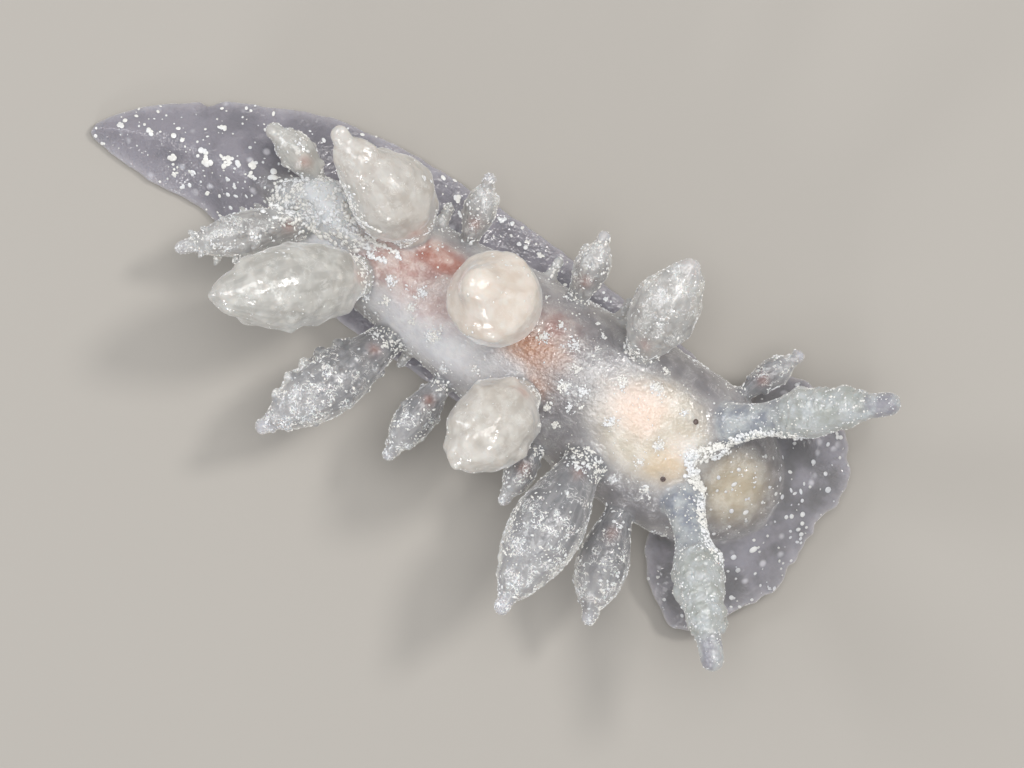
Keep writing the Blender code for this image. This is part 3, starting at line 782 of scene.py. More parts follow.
# Marks on the back: (attribute, x, y, half length, half width, turn, softness, strength)
MARKS = [
    ("cream", 5.25, 0.07, 1.42, 1.20, 0, 0.45, 1.0),
    ("peach", 4.60, 0.35, 0.70, 0.60, 0, 0.9, 0.8),
    ("peach", 6.15, -0.10, 0.30, 0.35, 0, 0.9, 0.7),
    ("tan", 6.05, -0.55, 0.55, 0.50, 0, 0.9, 0.7),
    ("snout", 7.66, -0.02, 0.70, 0.80, 0, 1.2, 1.0),
    ("rust", -2.20, 0.20, 1.00, 0.70, 0, 0.9, 0.75),
    ("rust", -1.10, 0.75, 1.00, 0.35, 0, 0.9, 0.95),
    ("rust", -0.90, -0.10, 0.90, 0.60, 0, 1.0, 0.5),
    ("rust", 2.00, 0.75, 0.35, 0.55, 20, 0.9, 0.8),
    ("amber", 1.72, 0.15, 0.70, 0.40, 15, 0.9, 0.9),
    ("amber", 2.20, -0.35, 0.60, 0.20, -40, 0.9, 0.55),
    ("frost", -4.20, 0.27, 0.80, 0.60, 0, 0.6, 1.0),
    ("milk", -4.20, 0.15, 0.80, 0.90, 0, 0.8, 1.0),
    ("frost", -3.20, 0.05, 0.50, 0.22, 0, 1.0, 0.8),
    ("frost", -5.00, 0.00, 0.45, 0.55, 0, 1.0, 0.6),
    ("frost", 6.30, 0.06, 0.26, 0.18, 0, 0.8, 1.0),
    ("milk", -0.60, -0.95, 1.60, 0.60, 0, 0.9, 0.7),
    ("milk", 0.60, -0.40, 1.30, 0.90, 0, 1.0, 0.5),
    ("milk", 3.60, 0.75, 0.55, 0.40, 0, 1.0, 0.5),
    # The next six marks are painted shade: darker patches beside the cerata roots, along the flanks, where
    # the tail leaves the body and in the fold between snout and veil.
    ("dusk", 3.05, -0.70, 0.75, 0.90, 0, 0.9, 0.9),
    ("dusk", 2.95, 1.10, 0.80, 0.70, 0, 0.9, 0.7),
    ("dusk", 5.60, -1.75, 1.10, 0.50, 0, 0.9, 0.8),
    ("dusk", 4.90, 1.70, 1.30, 0.45, 0, 0.9, 0.8),
    ("dusk", 7.90, 0.00, 1.20, 1.60, 0, 0.5, 1.0),
    ("dusk", -5.60, 0.20, 0.80, 0.80, 0, 0.8, 1.0),
]
MARKS += [("shade", x, y, 0.15, 0.15, 0, 1.2, 0.5) for _, x, y in EYES]
# Rosettes of white grains on the back that stand out: (x, y, radius)
ROSETTES = [
    (-1.93, -0.34, 0.17), (-1.16, -0.20, 0.17), (-1.80, -0.81, 0.14), (-1.21, -0.60, 0.15),
    (-0.39, -0.91, 0.22), (-0.99, -0.89, 0.11), (-2.24, -1.01, 0.10), (0.90, -1.02, 0.11),
    (0.26, -1.43, 0.14), (2.59, 0.77, 0.18), (2.06, 0.97, 0.12), (1.85, 0.51, 0.18), (2.95, 0.31, 0.15),
    (2.91, -0.23, 0.20), (3.32, -0.03, 0.17), (2.86, -0.83, 0.14), (3.30, -0.57, 0.15), (3.23, -1.11, 0.14),
    (2.92, -1.31, 0.08), (4.02, 0.64, 0.20), (4.76, 0.97, 0.20), (5.64, 0.83, 0.12), (4.30, -0.34, 0.18),
    (5.57, -0.16, 0.18), (5.41, -0.75, 0.13), (4.75, 1.44, 0.12), (3.08, 0.98, 0.08), (3.04, 1.32, 0.10),
    (2.74, 1.49, 0.07), (5.09, -1.44, 0.13), (5.86, -1.24, 0.14),
]


def root_spots(points, normals, owners):
    """Give the small red-brown spot that shows through the upper side of each ceras near its root."""
    values = np.zeros(len(points))
    for row in CERATA:
        axis = axis_of(row)
        share = ROOT_SPOT_AT / row[6]
        ahead, across = frame_at(axis, share, 0)
        offset = points - np.array(axis(share))
        far = np.hypot(offset @ np.array(ahead), offset @ np.array(across))
        on_top = (owners == row[0]) & (normals @ np.array(across.cross(ahead)) > 0)
        values += on_top * np.exp(-(far / ROOT_SPOT_REACH) ** 2)
    return values


def rosettes(points, normals):
    """Give 1 in the middle of each rosette on the back, fading to 0 over its radius."""
    far = np.full(len(points), np.inf)
    for x, y, radius in ROSETTES:
        far = np.minimum(far, np.hypot(points[:, 0] - x, points[:, 1] - y) / radius)
    return np.exp(-far ** 2) * ease(normals[:, 2] * 2 + 0.6)


def rim_values(points, kind):
    """Give 1 at the thin margins of the sole and veil, fading to 0 inwards."""
    values = np.zeros(len(points))
    for i in np.flatnonzero(np.isin(kind, ["sole", "veil"])):
        x, y, _ = points[i]
        if kind[i] == "sole":
            inset = min(y - smooth(SOLE_MARGIN, x, 1), smooth(SOLE_MARGIN, x, 2) - y)
        else:
            dx, dy = x - VEIL_CENTRE[0], y - VEIL_CENTRE[1]
            inset = veil_reach(math.degrees(math.atan2(dy, dx))) - math.hypot(dx, dy)
        values[i] = math.exp(-(max(inset, 0.0) / RIM_REACH) ** 1.3)
    return values


def turns_round(points, owners, shares):
    """Give the direction of each point of the cerata from their axes, as two parts across the axis."""
    turns = np.zeros((2, len(points)))
    for row in CERATA:
        axis = axis_of(row)
        for i in np.flatnonzero(owners == row[0]):
            out = (Vector(points[i]) - axis(shares[i])).normalized()
            ahead, across = frame_at(axis, shares[i], 0)
            turns[:, i] = out.dot(across), out.dot(ahead.cross(across))
    return turns


def mark_skin(obj, forms):
    """Write on the skin which part each point belongs to, and the marks on the back."""
    points = read_points(obj.data)
    normals = read_normals(obj.data)
    edges = read_edges(obj.data)
    owners, shares = nearest_forms(forms, points)
    kinds = {row[0]: row[8] for row in CERATA}
    kind = np.array([kinds.get(owner, owner) for owner in owners], dtype=object)
    feeler = np.array([owner.startswith("rhinophore") for owner in owners], float)
    ceras_shares = np.where(np.isin(owners, list(kinds)), np.maximum(shares, 0), 0)
    values = {
        "ceras": np.isin(kind, list(CERAS_PROFILE)).astype(float),
        "solid": ceras_values(owners, 9),
        "warm": ceras_values(owners, 10),
        "feeler": feeler,
        "along": np.where(feeler > 0, shares, ceras_shares),
    }
    for name in ("veil", "sole", "bud"):
        values[name] = (kind == name).astype(float)
    values["rim"] = rim_values(points, kind)
    values["turn_a"], values["turn_b"] = turns_round(points, owners, shares)
    on_back = np.isin(kind, ["body", "crest"]).astype(float)
    on_veil = values["veil"].copy()
    for name in sorted({mark[0] for mark in MARKS}):
        values[name] = np.zeros(len(points))
    at_rear = (values["ceras"] + values["bud"]) * (points[:, 0] < FROST_END)
    reach = {"snout": on_back + on_veil, "frost": on_back + at_rear}
    for name, x, y, long, wide, turn, edge, strength in MARKS:
        where = reach.get(name, on_back)
        mark = strength * patch(points, normals, x, y, long, wide, turn, edge) * where
        values[name] = np.maximum(values[name], mark)
    values["root_spot"] = root_spots(points, normals, owners)
    values["rosette"] = rosettes(points, normals) * on_back
    hard = {"owners": owners, "shares": shares, "kind": kind}
    for name, value in values.items():
        rounds = 2 if name in ("veil", "sole", "along", "rosette", "root_spot") else 5
        for _ in range(rounds):
            value = 0.4 * value + 0.6 * average(value, edges)
        attribute = obj.data.attributes.new(name, "FLOAT", "POINT")
        attribute.data.foreach_set("value", value.astype(np.float32))
        values[name] = value
    return values, hard


def shape_skin(obj, values, hard):
    """Raise and sink the skin's points: creased cerata, bubbly clubs, an uneven back, and the mouth."""
    points = read_points(obj.data)
    normals = read_normals(obj.data)
    kind = hard["kind"]
    move = np.zeros(len(points))

    for kinds, size, deep in ((FULL_KINDS, 0.70, 0.020), (["soft"], 0.45, 0.035)):
        creased = np.isin(kind, kinds)
        inside = cell_edges(points[creased], size)
        move[creased] += 0.3 * deep - deep * np.exp(-(inside / 0.25) ** 2)
        peaks = np.array([noise.voronoi(Vector(point) / PEAK_SPACING)[0][0] for point in points[creased]])
        sharp = np.clip(1 - peaks / 0.6, 0, 1) ** 1.4
        move[creased] += PEAK_HEIGHT * sharp * ceras_values(hard["owners"], 11)[creased]
        move[creased] += 0.022 * fleck(points[creased], 0.45, 9) + 0.010 * fleck(points[creased], 0.18, 3)

    club = (values["feeler"] > 0.5) & (values["along"] > 0.34) & (values["along"] < 0.84)
    back = np.isin(kind, ["body", "crest"])
    sole = (kind == "sole") & (points[:, 2] > 0.1)
    for where, size, offset, deep in (
            (np.isin(kind, CLEAR_KINDS + ["bud"]), 0.18, 7, 0.016), (club, 0.17, 5, 0.028),
            (club, 0.4, 12, 0.02), (back, 0.5, 1, 0.02), (back, 0.16, 2, 0.008),
            (kind == "veil", 0.3, 4, 0.012), (sole, 0.4, 6, 0.01)):
        move[where] += deep * fleck(points[where], size, offset)
    move[back] += FROST_MOUND * values["frost"][back] ** 2 * (points[back, 0] < FROST_END)

    points += normals * move[:, None]
    mouth = ((points[:, 0] - MOUTH_X) / MOUTH_LONG) ** 2 + (points[:, 1] / MOUTH_WIDE) ** 2
    under = (points[:, 2] < 1.2) & (normals[:, 2] < 0) & (kind == "body")
    points[:, 2] += np.where(under, MOUTH_DEEP * np.exp(-mouth), 0)
    flat = points[:, 2] < 0.02
    points[flat, 2] = 0.0
    write_points(obj.data, points)


class Nodes:
    """Short ways to add shader nodes to one material."""

    def __init__(self, name):
        self.material = bpy.data.materials.new(name)
        self.material.use_nodes = True
        self.tree = self.material.node_tree
        self.coordinates = self.add("TexCoord", "Object", {})

    def put(self, node, inputs):
        """Set inputs of a node to plain values, or link them to other nodes."""
        for key, value in inputs.items():
            if isinstance(value, bpy.types.NodeSocket):
                self.tree.links.new(value, node.inputs[key])
            else:
                node.inputs[key].default_value = value

    def add(self, kind, output, inputs, **settings):
        """Add a node and give one of its outputs."""
        node = self.tree.nodes.new("ShaderNode" + kind)
        for key, value in settings.items():
            setattr(node, key, value)
        self.put(node, inputs)
        return node.outputs[output]

    def attribute(self, name):
        return self.add("Attribute", "Fac", {}, attribute_name=name)

    def streaks(self):
        """Give noise drawn out along the cerata."""
        place = self.add("CombineXYZ", 0, {
            0: self.attribute("turn_a"), 1: self.attribute("turn_b"), 2: self.attribute("along")})
        return self.add("TexNoise", "Fac", {"Vector": place, "Scale": STREAKS_ROUND, "Detail": 3.0})

    def noise(self, size, detail=2.0, distortion=0.0, roughness=0.5):
        """Give noise whose lumps are about size millimetres across."""
        return self.add("TexNoise", "Fac", {
            "Vector": self.coordinates, "Scale": 1 / (size * MM), "Detail": detail, "Roughness": roughness,
            "Distortion": distortion})

    def voronoi(self, size):
        return self.add("TexVoronoi", "Distance", {"Vector": self.coordinates, "Scale": 1 / (size * MM)})

    def math(self, operation, *values):
        """Take the values through one operation, from the first to the last."""
        result = values[0]
        for value in values[1:]:
            result = self.add("Math", 0, {0: result, 1: value}, operation=operation)
        return result

    def times(self, *values):
        return self.math("MULTIPLY", *values)

    def most(self, *values):
        return self.math("MAXIMUM", *values)

    def less(self, value):
        """Give what the value leaves of 1."""
        return self.math("SUBTRACT", 1.0, value)

    def absolute(self, value):
        """Give the value without its sign."""
        return self.math("ABSOLUTE", value, 0.0)

    def step(self, value, low, high):
        """Give 0 where value is under low, 1 over high, and a smooth step between, or the other way round."""
        rising = float(low < high)
        return self.add("MapRange", "Result", {
            "Value": value, "From Min": min(low, high), "From Max": max(low, high), "To Min": 1 - rising,
            "To Max": rising}, interpolation_type="SMOOTHSTEP")

    def mix(self, factor, a, b):
        """Mix two colours, each from a node or as (red, green, blue), 0 to 255."""
        a, b = (srgb(*colour) if isinstance(colour, tuple) else colour for colour in (a, b))
        return self.add("Mix", 2, {0: factor, 6: a, 7: b}, data_type="RGBA")

    def cover(self, colour, *layers):
        """Lay colours over one another. Each layer is (how much of it shows, its colour)."""
        for share, layer in layers:
            colour = self.mix(share, colour, layer)
        return colour

    def bump(self, height, strength, distance):
        return self.add("Bump", "Normal", {"Height": height, "Strength": strength, "Distance": distance * MM})

    def finish(self, **sockets):
        """Set the shader's sockets, with a low line for each space in a name."""
        named = {name.replace("_", " "): value for name, value in sockets.items()}
        self.put(self.tree.nodes["Principled BSDF"], named)
        return self.material


def skin_material():
    """Make the skin: pale grey flesh, cream masses showing through it, fine white flecks, painted shade
    beside the cerata roots, and painted rim light along the sides of the clear cerata.
    """
    n = Nodes("skin")
    read_mark = n.attribute
    cloud = n.step(n.noise(0.9, 3.0), 0.35, 0.65)
    small = n.step(n.noise(0.35, 3.0), 0.32, 0.68)
    ceras, solid, along, cream, frost, sole, veil = (
        read_mark(name) for name in ("ceras", "solid", "along", "cream", "frost", "sole", "veil"))
    thin_fin = n.most(sole, veil)
    full_ceras = n.times(ceras, solid)
    clear_ceras = n.times(ceras, n.less(n.times(solid, 0.85)))

    hazy = n.times(n.step(n.voronoi(0.42), 0.30, 0.10), n.step(n.noise(0.6, 1.0), 0.44, 0.60))
    ragged = n.math("ADD", read_mark("rosette"), n.times(n.noise(0.09, 2.0), 0.6))
    # Painted rim light: a warm white band along the sides of the clear cerata, where their skin faces
    # sideways across the axis.
    margin = n.step(n.absolute(read_mark("turn_a")), 0.80, 0.99)
    margin = n.times(margin, n.step(along, 0.10, 0.70), n.step(small, 0.0, 0.6))
    fibres = n.step(n.streaks(), 0.42, 0.66)
    squiggle = n.absolute(n.math("SUBTRACT", n.noise(0.16, 2.0, 1.2), 0.5))
    lines = n.times(n.step(squiggle, 0.045, 0.018), n.step(n.noise(0.35, 1.0), 0.46, 0.56))
    outer = n.times(clear_ceras, n.step(along, 0.05, 0.45))
    plain = n.times(n.less(n.most(ceras, thin_fin)), 0.15)
    flecks = n.times(lines, n.most(outer, plain))

    mass = n.cover(
        n.mix(small, (212, 203, 188), (229, 222, 211)),
        (read_mark("peach"), (244, 218, 202)),
        (read_mark("tan"), (226, 204, 172)))
    stalk = n.cover(
        n.mix(n.step(along, 0.28, 0.45), (164, 169, 180), (190, 193, 188)),
        (n.step(along, 0.78, 0.88), (170, 169, 177)),
        (small, (210, 214, 215)))
    clear = n.cover(
        n.mix(small, (154, 155, 160), (176, 176, 180)),
        (n.step(along, 0.40, 0.80), n.mix(small, (194, 193, 196), (228, 227, 229))),
        (n.times(fibres, 0.35), (228, 227, 226)),
        # Painted rim light along the sides of the clear cerata.
        (n.times(margin, 0.8), (250, 247, 238)),
        (n.step(along, 0.86, 0.95), (228, 226, 232)))
    mottled = n.step(n.noise(0.5, 2.0, 0.4, 0.6), 0.36, 0.64)
    full = n.cover(
        n.mix(mottled, (182, 182, 177), (208, 208, 203)),
        (read_mark("warm"), n.mix(mottled, (226, 213, 200), (238, 228, 218))),
        (n.times(n.step(n.voronoi(0.34), 0.36, 0.10), 0.45), (240, 237, 230)),
        (n.times(fibres, 0.18), (244, 242, 236)))
    colour = n.cover(
        n.mix(cloud, (172, 168, 170), (204, 201, 201)),
        (read_mark("milk"), n.mix(small, (238, 237, 240), (252, 251, 252))),
        # Painted shade: darker flesh beside the cerata roots and in the fold behind the veil.
        (read_mark("dusk"), n.mix(small, (136, 133, 137), (166, 163, 165))),
        (sole, n.mix(cloud, (132, 129, 136), (156, 152, 160))),
        (veil, n.mix(cloud, (126, 124, 126), (160, 157, 164))),
        (n.times(hazy, thin_fin, 0.75), (226, 224, 230)),
        (n.times(read_mark("rim"), 0.8), (190, 187, 193)),
        (read_mark("snout"), n.mix(small, (216, 202, 178), (238, 228, 210))),
        (cream, mass),
        (read_mark("shade"), (140, 124, 114)),
        (read_mark("rust"), n.mix(small, (194, 130, 114), (242, 216, 206))),
        (read_mark("amber"), n.mix(n.noise(0.12, 2.0), (162, 92, 52), (232, 182, 146))),
        (n.times(n.step(ragged, 0.62, 0.95), 0.9), (250, 250, 252)),
        (read_mark("feeler"), stalk),
        (ceras, n.mix(solid, clear, full)),
        (frost, (253, 253, 253)),
        (n.times(read_mark("root_spot"), 0.5), (196, 128, 108)),
        (read_mark("bud"), (214, 213, 212)),
        (flecks, (250, 250, 248)))

    firm = n.most(full_ceras, cream, frost, thin_fin, read_mark("milk"))
    clearness = n.times(n.less(firm), SKIN_CLEARNESS)
    clearness = n.math("ADD", clearness, n.times(clear_ceras, CERAS_CLEARNESS))
    # Less light passes through where the white flecks and the painted rim light lie.
    clearness = n.times(clearness, n.less(n.most(flecks, n.times(margin, clear_ceras))))
    grainy = n.less(n.times(full_ceras, 0.8))
    wet = n.bump(n.times(n.noise(0.10, 2.0), grainy), 0.75, 0.045)
    return n.finish(
        Base_Color=colour,
        Roughness=0.20,
        IOR=1.42,
        Transmission_Weight=clearness,
        Subsurface_Weight=0.7,
        Subsurface_Radius=(1.0, 0.85, 0.75),
        Subsurface_Scale=0.45 * MM,
        Coat_Weight=n.less(n.times(cream, 0.6)),
        Coat_Roughness=0.06,
        Sheen_Weight=0.7,
        Sheen_Roughness=0.3,
        Normal=wet,
        Coat_Normal=wet,
    )


def granule_material(name, cool, warm, soft, coat):
    """Make the white of the grains and spots. Soft ones let more light through below their surface."""
    n = Nodes(name)
    return n.finish(
        Base_Color=n.mix(n.step(n.noise(0.5, 1.0), 0.4, 0.6), cool, warm),
        Roughness=0.25,
        Subsurface_Weight=soft,
        Subsurface_Radius=(1.0, 1.0, 1.0),
        Subsurface_Scale=0.06 * MM,
        Coat_Weight=coat,
        Coat_Roughness=0.05,
    )


def ball_shape(rounds):
    """Give the points and faces of a ball: 20 faces at 1 round, and four times as many with each more."""
    mesh = bmesh.new()
    bmesh.ops.create_icosphere(mesh, subdivisions=rounds, radius=1.0)
    mesh.verts.index_update()
    points = np.array([vertex.co[:] for vertex in mesh.verts])
    faces = np.array([[vertex.index for vertex in face.verts] for face in mesh.faces])
    mesh.free()
    return points, faces


class Surface:
    """The finished skin as faces, to set grains on."""

    def __init__(self, obj, hard, values):
        mesh = obj.data
        mesh.calc_loop_triangles()
        self.corners = read(mesh.loop_triangles, "vertices", 3, np.int32)
        self.points = read_points(mesh)
        self.normals = read_normals(mesh)
        a, b, c = (self.points[self.corners[:, k]] for k in range(3))
        self.areas = np.linalg.norm(np.cross(b - a, c - a), axis=1) / 2
        self.centres = (a + b + c) / 3
        first = self.corners[:, 0]
        self.kind, self.owners, self.shares = (hard[key][first] for key in ("kind", "owners", "shares"))
        self.ups = self.normals[first]
        self.values = {name: value[first] for name, value in values.items()}
        self.tree = BVHTree.FromPolygons(self.points.tolist(), self.corners.tolist())

    def scatter(self, weights, count):
        """Pick count places on the skin, in proportion to each face's weight and area."""
        chance = self.areas * weights
        picked = rng.choice(len(chance), count, p=chance / chance.sum())
        share = rng.dirichlet((1, 1, 1), count)
        corner = self.corners[picked]
        places = (self.points[corner] * share[:, :, None]).sum(axis=1)
        normals = (self.normals[corner] * share[:, :, None]).sum(axis=1)
        return places, normals

    def drop(self, spots):
        """Find the skin under each (x, y)."""
        places, normals = [], []
        for x, y in spots:
            place, normal, _, _ = self.tree.ray_cast(Vector((x, y, 12)), Vector((0, 0, -1)))
            if place is not None:
                places.append(place)
                normals.append(normal)
        return np.array(places), np.array(normals)

    def around(self, places, count, reach):
        """Pick count places round each of the given ones, set back on the skin."""
        found, ups = [], []
        for place in places:
            for _ in range(count):
                offset = Vector(rng.normal(0, reach / 2, 3))
                near, up, _, _ = self.tree.find_nearest(Vector(place) + offset)
                found.append(near)
                ups.append(up)
        return np.array(found), np.array(ups)


class Grains:
    """Grains gathered for one joined mesh, with their places, the skin's normals there and their sizes."""

    def __init__(self, surface):
        self.surface = surface
        self.parts = []

    def add(self, places, normals, low, high):
        """Add grains of sizes between low and high, more of them small."""
        self.parts.append((places, normals, low + (high - low) * rng.random(len(places)) ** 2))

    def strew(self, weights, count, low, high):
        """Add count grains over the skin, in proportion to each face's weight and area."""
        self.add(*self.surface.scatter(weights, count), low, high)

    def clump(self, places, count, reach, low, high):
        """Add count grains round each place."""
        self.add(*self.surface.around(places, count, reach), low, high)

    def mesh(self, name, flatness=0.7, rounds=1, uneven_by=0.22, longest=1.35):
        """Make one joined mesh of small uneven grains, half sunk in the skin."""
        places, normals, sizes = (np.concatenate(column) for column in zip(*self.parts))
        ball, faces = ball_shape(rounds)
        count = len(places)
        up = normals / np.linalg.norm(normals, axis=1)[:, None]
        side = np.cross(up, rng.normal(size=(count, 3)))
        side /= np.linalg.norm(side, axis=1)[:, None]
        other = np.cross(up, side)
        stretch = rng.uniform((1 / longest, 0.65), (longest, 1.35), (count, 2))
        uneven = 1 + rng.uniform(-uneven_by, uneven_by, (count, len(ball)))
        local = ball[None] * uneven[:, :, None] * sizes[:, None, None]
        points = places[:, None] + (
            local[:, :, 0:1] * stretch[:, None, 0:1] * side[:, None]
            + local[:, :, 1:2] * stretch[:, None, 1:2] * other[:, None]
            + local[:, :, 2:3] * flatness * up[:, None])
        shift = np.arange(count)[:, None, None] * len(ball)
        obj = new_object(name, points.reshape(-1, 3), (faces[None] + shift).reshape(-1, 3).tolist())
        obj.data.shade_smooth()
        return obj


def finish_piece(obj, material, slot, *nodes):
    """Scale a finished piece to metres, give it its material and let it ride on the body."""
    obj.data.transform(Matrix.Scale(MM, 4))
    obj.data.materials.clear()
    obj.data.materials.append(material)
    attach(obj, "root")
    if nodes:
        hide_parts(*nodes)


# Grains on the cerata: (kinds, how many to a square millimetre, smallest size, largest size)
CERAS_GRAINS = [
    (["clear"], 46, 0.012, 0.040), (["blunt", "spiky"], 50, 0.012, 0.042), (["soft"], 26, 0.012, 0.036),
    (FULL_KINDS, 4, 0.012, 0.03), (["bud"], 60, 0.014, 0.04),
]
# Cerata with few grains at their roots
BARE_ROOTS = ["ceras_left_1", "ceras_right_1"]


def make_ceras_granules(surface):
    """Strew grains over the cerata: many on the clear ones, few on the full ones, crusts at the roots."""
    grains = Grains(surface)
    patchy = 0.25 + ease(fleck(surface.centres, 0.45, 20) * 2 + 0.5)
    edge = np.abs(surface.values["turn_a"]) ** 8
    outwards = 0.12 + 1.2 * ease(surface.shares * 1.5 - 0.2) + edge
    for kinds, per_mm, low, high in CERAS_GRAINS:
        on = np.isin(surface.kind, kinds).astype(float)
        grains.strew(on * patchy * outwards, int(per_mm * (surface.areas * on).sum()), low, high)
    ceras = np.isin(surface.kind, list(CERAS_PROFILE))
    roots = (ceras & (surface.shares < 0.13) & (surface.ups[:, 2] > -0.3)).astype(float)
    roots[np.isin(surface.owners, BARE_ROOTS)] *= 0.25
    crust = roots * ease(fleck(surface.centres, 0.6, 30) * 2 + 0.6)
    grains.strew(crust, int(240 * (surface.areas * crust).sum()), 0.014, 0.042)
    return grains.mesh("granules_cerata", longest=2.2)


def make_feeler_granules(surface):
    """Set the dense bright grains of the crest and of the stalks' front edges, and fine ones elsewhere."""
    grains = Grains(surface)
    feeler = surface.values["feeler"] > 0.5
    along = surface.values["along"]
    club = (feeler & (along > 0.35) & (along < 0.84)).astype(float)
    club *= 0.3 + ease(fleck(surface.centres, 0.3, 8) * 2)
    stalk = (feeler & (along <= 0.38)).astype(float)
    tip = (feeler & (along >= 0.84)).astype(float)
    for weights, count, high in ((club, 900, 0.035), (stalk, 420, 0.035), (tip, 120, 0.03)):
        grains.strew(weights, count, 0.012, high)
    for row in RHINOPHORES:
        axis, side = axis_of(row), row[2]
        ridge = [axis(share) + crest_side(axis, share, side) * stalk_radius(share)
                 for share in spread(0.0, CREST_REACH + 0.06, 60)]
        grains.clump(ridge, 7, 0.17, 0.018, 0.055)
        grains.clump([crest_place(step, side) for step in spread(0, 1, 30)], 9, 0.18, 0.018, 0.06)
    return grains.mesh("granules_crest")


# How many small clusters of grains are strewn between the rosettes, grains to a square millimetre of a
# rosette, and where along the body the snout starts
BACK_STREWN = 26
ROSETTE_GRAINS = 1500
SNOUT_START = 6.9
# White streaks behind the red-brown patch: (x, y, x at the end, y at the end)
BACK_STREAKS = [
    (-3.23, -0.04, -2.84, 0.02), (-2.55, 0.27, -2.04, 0.24), (-3.31, 0.43, -2.78, 0.49),
    (-3.00, 0.22, -2.60, 0.20), (-2.70, -0.10, -2.35, -0.05), (-3.70, 0.05, -3.35, 0.12),
]


def make_back_granules(surface):
    """Set the clusters of grains on the back, single grains between them, and the rows along the flanks."""
    grains = Grains(surface)
    for x, y, radius in ROSETTES:
        count = round(ROSETTE_GRAINS * radius ** 2)
        grains.clump(surface.drop([(x, y)])[0], count, radius * 0.85, 0.015, 0.042)
    off_eyes = surface.values["shade"] < 0.05
    back = ((surface.kind == "body") & (surface.ups[:, 2] > -0.2) & off_eyes).astype(float)
    grains.clump(surface.scatter(back, BACK_STREWN)[0], 7, 0.11, 0.015, 0.04)
    grains.strew(back, 800, 0.010, 0.028)
    back *= surface.centres[:, 0] < SNOUT_START
    edge = back * np.exp(-((surface.centres[:, 2] - 1.9) / 0.35) ** 2)
    grains.strew(edge * ease(fleck(surface.centres, 0.7, 40) * 2 + 0.4), 700, 0.014, 0.045)
    frost = surface.values["frost"] * (surface.ups[:, 2] > -0.2) * (surface.centres[:, 0] < FROST_END)
    places, normals = surface.scatter(frost * (1.12 - frost), 1300)
    grains.add(places - 0.01 * normals, normals, 0.02, 0.075)
    for x, y, end_x, end_y in BACK_STREAKS:
        line = [(x + (end_x - x) * step, y + (end_y - y) * step) for step in spread(0, 1, 9)]
        grains.clump(surface.drop(line)[0], 3, 0.05, 0.03, 0.06)
    return grains.mesh("granules_back")


# Spots on the tail and along the left margin that stand out: (x, y, radius)
SOLE_SPOTS = [
    (-9.54, -0.73, 0.10), (-8.87, -0.52, 0.11), (-7.43, 0.56, 0.11), (-7.43, -0.19, 0.12),
    (-7.27, -0.39, 0.15), (-8.02, -0.74, 0.11), (-6.87, 0.01, 0.13), (-6.84, -0.17, 0.11),
    (-6.58, 0.00, 0.09), (-6.25, 0.15, 0.14), (-5.74, 0.20, 0.17), (-6.86, -0.99, 0.08),
    (-7.42, -0.78, 0.09), (-7.77, -1.03, 0.08), (-6.62, -0.43, 0.08), (-6.40, -0.49, 0.07),
    (-7.45, -1.17, 0.07), (-6.16, -0.08, 0.08), (-2.59, 2.15, 0.08), (-1.72, 2.20, 0.10),
    (-0.53, 2.38, 0.10), (-0.27, 2.42, 0.06), (-0.02, 2.46, 0.07), (0.27, 2.26, 0.07), (-0.14, 2.17, 0.06),
    (0.13, 2.09, 0.07), (0.71, 2.14, 0.10), (2.61, 2.12, 0.06),
]
# Share of its radius that is solid white in a spot on the snout or veil, and those that stand out:
# (x, y, radius)
SPOT_SHARE = 0.62
FRONT_SPOTS = [
    (7.60, 0.04, 0.11), (7.34, -0.31, 0.06), (8.04, -0.11, 0.06), (7.90, -0.53, 0.11), (8.21, -0.37, 0.12),
    (8.07, -0.87, 0.08), (7.85, -1.22, 0.10), (8.05, 0.25, 0.05), (8.37, 0.45, 0.09), (8.42, 0.05, 0.08),
    (7.60, -1.14, 0.06), (8.06, 1.09, 0.09), (7.88, 1.02, 0.07), (8.95, 1.54, 0.12), (9.02, 2.09, 0.11),
    (8.60, 1.03, 0.10), (9.62, 1.17, 0.11), (8.98, 0.66, 0.08), (9.23, 0.61, 0.10), (9.12, 0.07, 0.10),
    (9.42, 0.34, 0.11), (8.88, -1.02, 0.14), (8.84, -1.64, 0.12), (9.24, -1.48, 0.08), (9.08, -2.28, 0.10),
    (9.40, -0.16, 0.07),
]


def make_sole_spots(surface):
    """Set the white spots of the tail and of the sole's margins."""
    grains = Grains(surface)
    for x, y, radius in SOLE_SPOTS:
        places, normals = surface.around(surface.drop([(x, y)])[0], 5, radius * 0.7)
        grains.parts.append((places, normals, rng.uniform(0.38, 0.62, len(places)) * radius))
    sole = ((surface.kind == "sole") & (surface.ups[:, 2] > 0.4)).astype(float)
    tail = sole * ease((TAIL_END + 0.6 - surface.centres[:, 0]) / 1.2)
    grains.strew(tail, 130, 0.015, 0.06)
    grains.strew(sole - tail * 0.8, 120, 0.02, 0.06)
    return grains.mesh("spots_sole", flatness=0.25, rounds=2, uneven_by=0.06)


